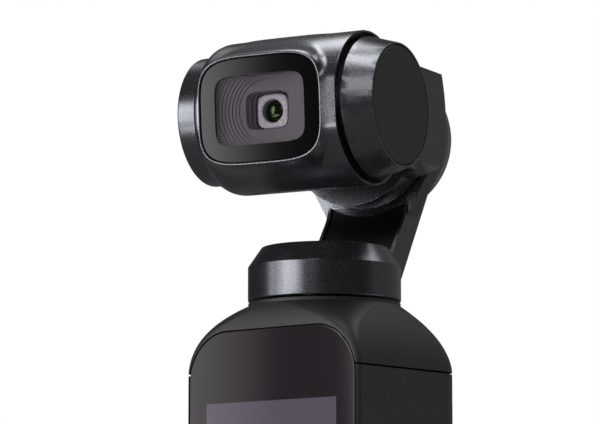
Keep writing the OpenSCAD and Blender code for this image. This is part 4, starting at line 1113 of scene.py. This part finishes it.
def card_at(name, azimuth, elevation, distance, size, target):
    """A black studio card that faces the head from a direction in degrees, unseen by the camera,
    with its node tree, shader and coordinates."""
    start_fresh()
    bpy.ops.mesh.primitive_plane_add(size=1)
    card = bpy.context.object
    card.name = name
    offset = direction(azimuth, elevation)
    card.scale = (size[0], size[1], 1)
    card.rotation_euler = offset.to_track_quat("Z", "Y").to_euler()
    card.location = target + offset * distance
    card.visible_camera = False
    card.visible_shadow = False
    card.visible_transmission = False
    material, tree, shader, place = new_material(name + " cloth", Roughness=1.0)
    shader.inputs["Base Color"].default_value = (0, 0, 0, 1)
    shader.inputs["Emission Color"].default_value = (1, 1, 1, 1)
    card.data.materials.append(material)
    return card, tree, shader, place


def add_softbox(name, azimuth, elevation, distance, size, strength, soft, target):
    """A lit diffuser card whose light fades towards its edges."""
    card, tree, shader, place = card_at(name, azimuth, elevation, distance, size, target)
    parts = add_node(tree, "ShaderNodeSeparateXYZ", inputs={"Vector": place}).outputs
    light = strength
    for axis in ("X", "Y"):
        off = calculate(tree, "ABSOLUTE", parts[axis], 0.0)
        fade = between(tree, off, 0.5, 0.5 - soft, 0.0, 1.0)
        light = calculate(tree, "MULTIPLY", light, fade)
    tree.links.new(light, shader.inputs["Emission Strength"])


def add_flag(name, azimuth, elevation, distance, size, glow, target):
    """A black card that only reflections see, as photographers set them round dark metal."""
    flag, tree, shader, place = card_at(name, azimuth, elevation, distance, size, target)
    flag.visible_diffuse = False
    shader.inputs["Emission Strength"].default_value = glow


def add_world():
    """White to the camera, in reflections and through glass, and a soft grey fill elsewhere."""
    world = bpy.data.worlds.new("studio")
    world.use_nodes = True
    bpy.context.scene.world = world
    tree = world.node_tree
    path = add_node(tree, "ShaderNodeLightPath").outputs
    seen = path["Is Camera Ray"]
    for ray in ("Is Glossy Ray", "Is Transmission Ray"):
        seen = calculate(tree, "MAXIMUM", seen, path[ray])
    strength = between(tree, seen, 0.0, 1.0, 0.25, 1.0)
    back = tree.nodes["Background"]
    tree.links.new(strength, back.inputs["Strength"])
    back.inputs["Color"].default_value = (1, 1, 1, 1)


def add_floor():
    """A plain pale floor under the handle."""
    start_fresh()
    bpy.ops.mesh.primitive_plane_add(size=6, location=(0, 0, -0.0002))
    floor = bpy.context.object
    floor.name = "floor"
    material, tree, shader, place = new_material("Pale paper", Roughness=0.9)
    grain = noise(tree, place, 4.0)
    tone = blend_colours(tree, grain, linear("#f4f4f4"), linear("#fbfbfb"))
    tree.links.new(tone, shader.inputs["Base Color"])
    floor.data.materials.append(material)


class GIMBAL_OT_stage(bpy.types.Operator):
    """Adds the camera, the lamps, the world and the floor"""

    bl_idname = "gimbal.stage"
    bl_label = "Stage"

    def execute(self, context):
        add_camera()
        add_world()
        add_floor()
        head = Vector(joint("roll")["pos_m"])
        for *softbox, (along, up) in SOFTBOXES:
            add_softbox(*softbox, head + (TILT_AXIS * along + UP * up) * MM)
        for i, glow in enumerate(FLAG_GLOWS):
            add_flag("flag_%d" % i, 45 * i, 15, FLAG_DISTANCE, FLAG_SIZE, glow, head)
        add_flag("flag_top", 0, 90, FLAG_DISTANCE, (1.5, 1.5), TOP_GLOW, head)
        add_flag("flag_floor", 0, -90, head.z - MM, (2.0, 2.0), FLOOR_GLOW, head)
        add_flag("flag_low", 120, -38, 0.17, (0.12, 0.12), LOW_GLOW, head)
        context.scene.view_settings.view_transform = "Standard"
        return {"FINISHED"}


class GIMBAL_PT_panel(bpy.types.Panel):
    """Lists the steps that make the camera"""

    bl_label = "Gimbal camera"
    bl_idname = "GIMBAL_PT_panel"
    bl_space_type = "VIEW_3D"
    bl_region_type = "UI"
    bl_category = "Gimbal camera"

    def draw(self, context):
        scene = context.scene
        for group in (scene.camera_shape, scene.handle_shape, scene.finish_colours):
            box = self.layout.box()
            for name in group.__annotations__:
                box.prop(group, name)
        for step in STEPS:
            self.layout.operator(step.bl_idname)


STEPS = (
    GIMBAL_OT_stage,
    GIMBAL_OT_finishes,
    GIMBAL_OT_shells,
    GIMBAL_OT_window,
    GIMBAL_OT_lens,
    GIMBAL_OT_gimbal,
    GIMBAL_OT_handle,
    GIMBAL_OT_controls,
)
GROUPS = {
    "camera_shape": CameraShape,
    "handle_shape": HandleShape,
    "finish_colours": FinishColours,
}


def register():
    """Registers the properties, the steps and the panel."""
    for group in GROUPS.values():
        bpy.utils.register_class(group)
    for name, group in GROUPS.items():
        setattr(bpy.types.Scene, name, bpy.props.PointerProperty(type=group))
    for step in STEPS:
        bpy.utils.register_class(step)
    bpy.utils.register_class(GIMBAL_PT_panel)


def unregister():
    """Takes back what register() added."""
    bpy.utils.unregister_class(GIMBAL_PT_panel)
    for step in reversed(STEPS):
        bpy.utils.unregister_class(step)
    for name, group in GROUPS.items():
        delattr(bpy.types.Scene, name)
        bpy.utils.unregister_class(group)


def main():
    """Makes the whole camera and its stage."""
    register()
    bpy.ops.gimbal.stage()
    bpy.ops.gimbal.finishes()
    bpy.ops.gimbal.shells()
    bpy.ops.gimbal.window()
    bpy.ops.gimbal.lens()
    bpy.ops.gimbal.motors()
    bpy.ops.gimbal.handle()
    bpy.ops.gimbal.controls()
    start_fresh()


if __name__ == "__main__":
    main()
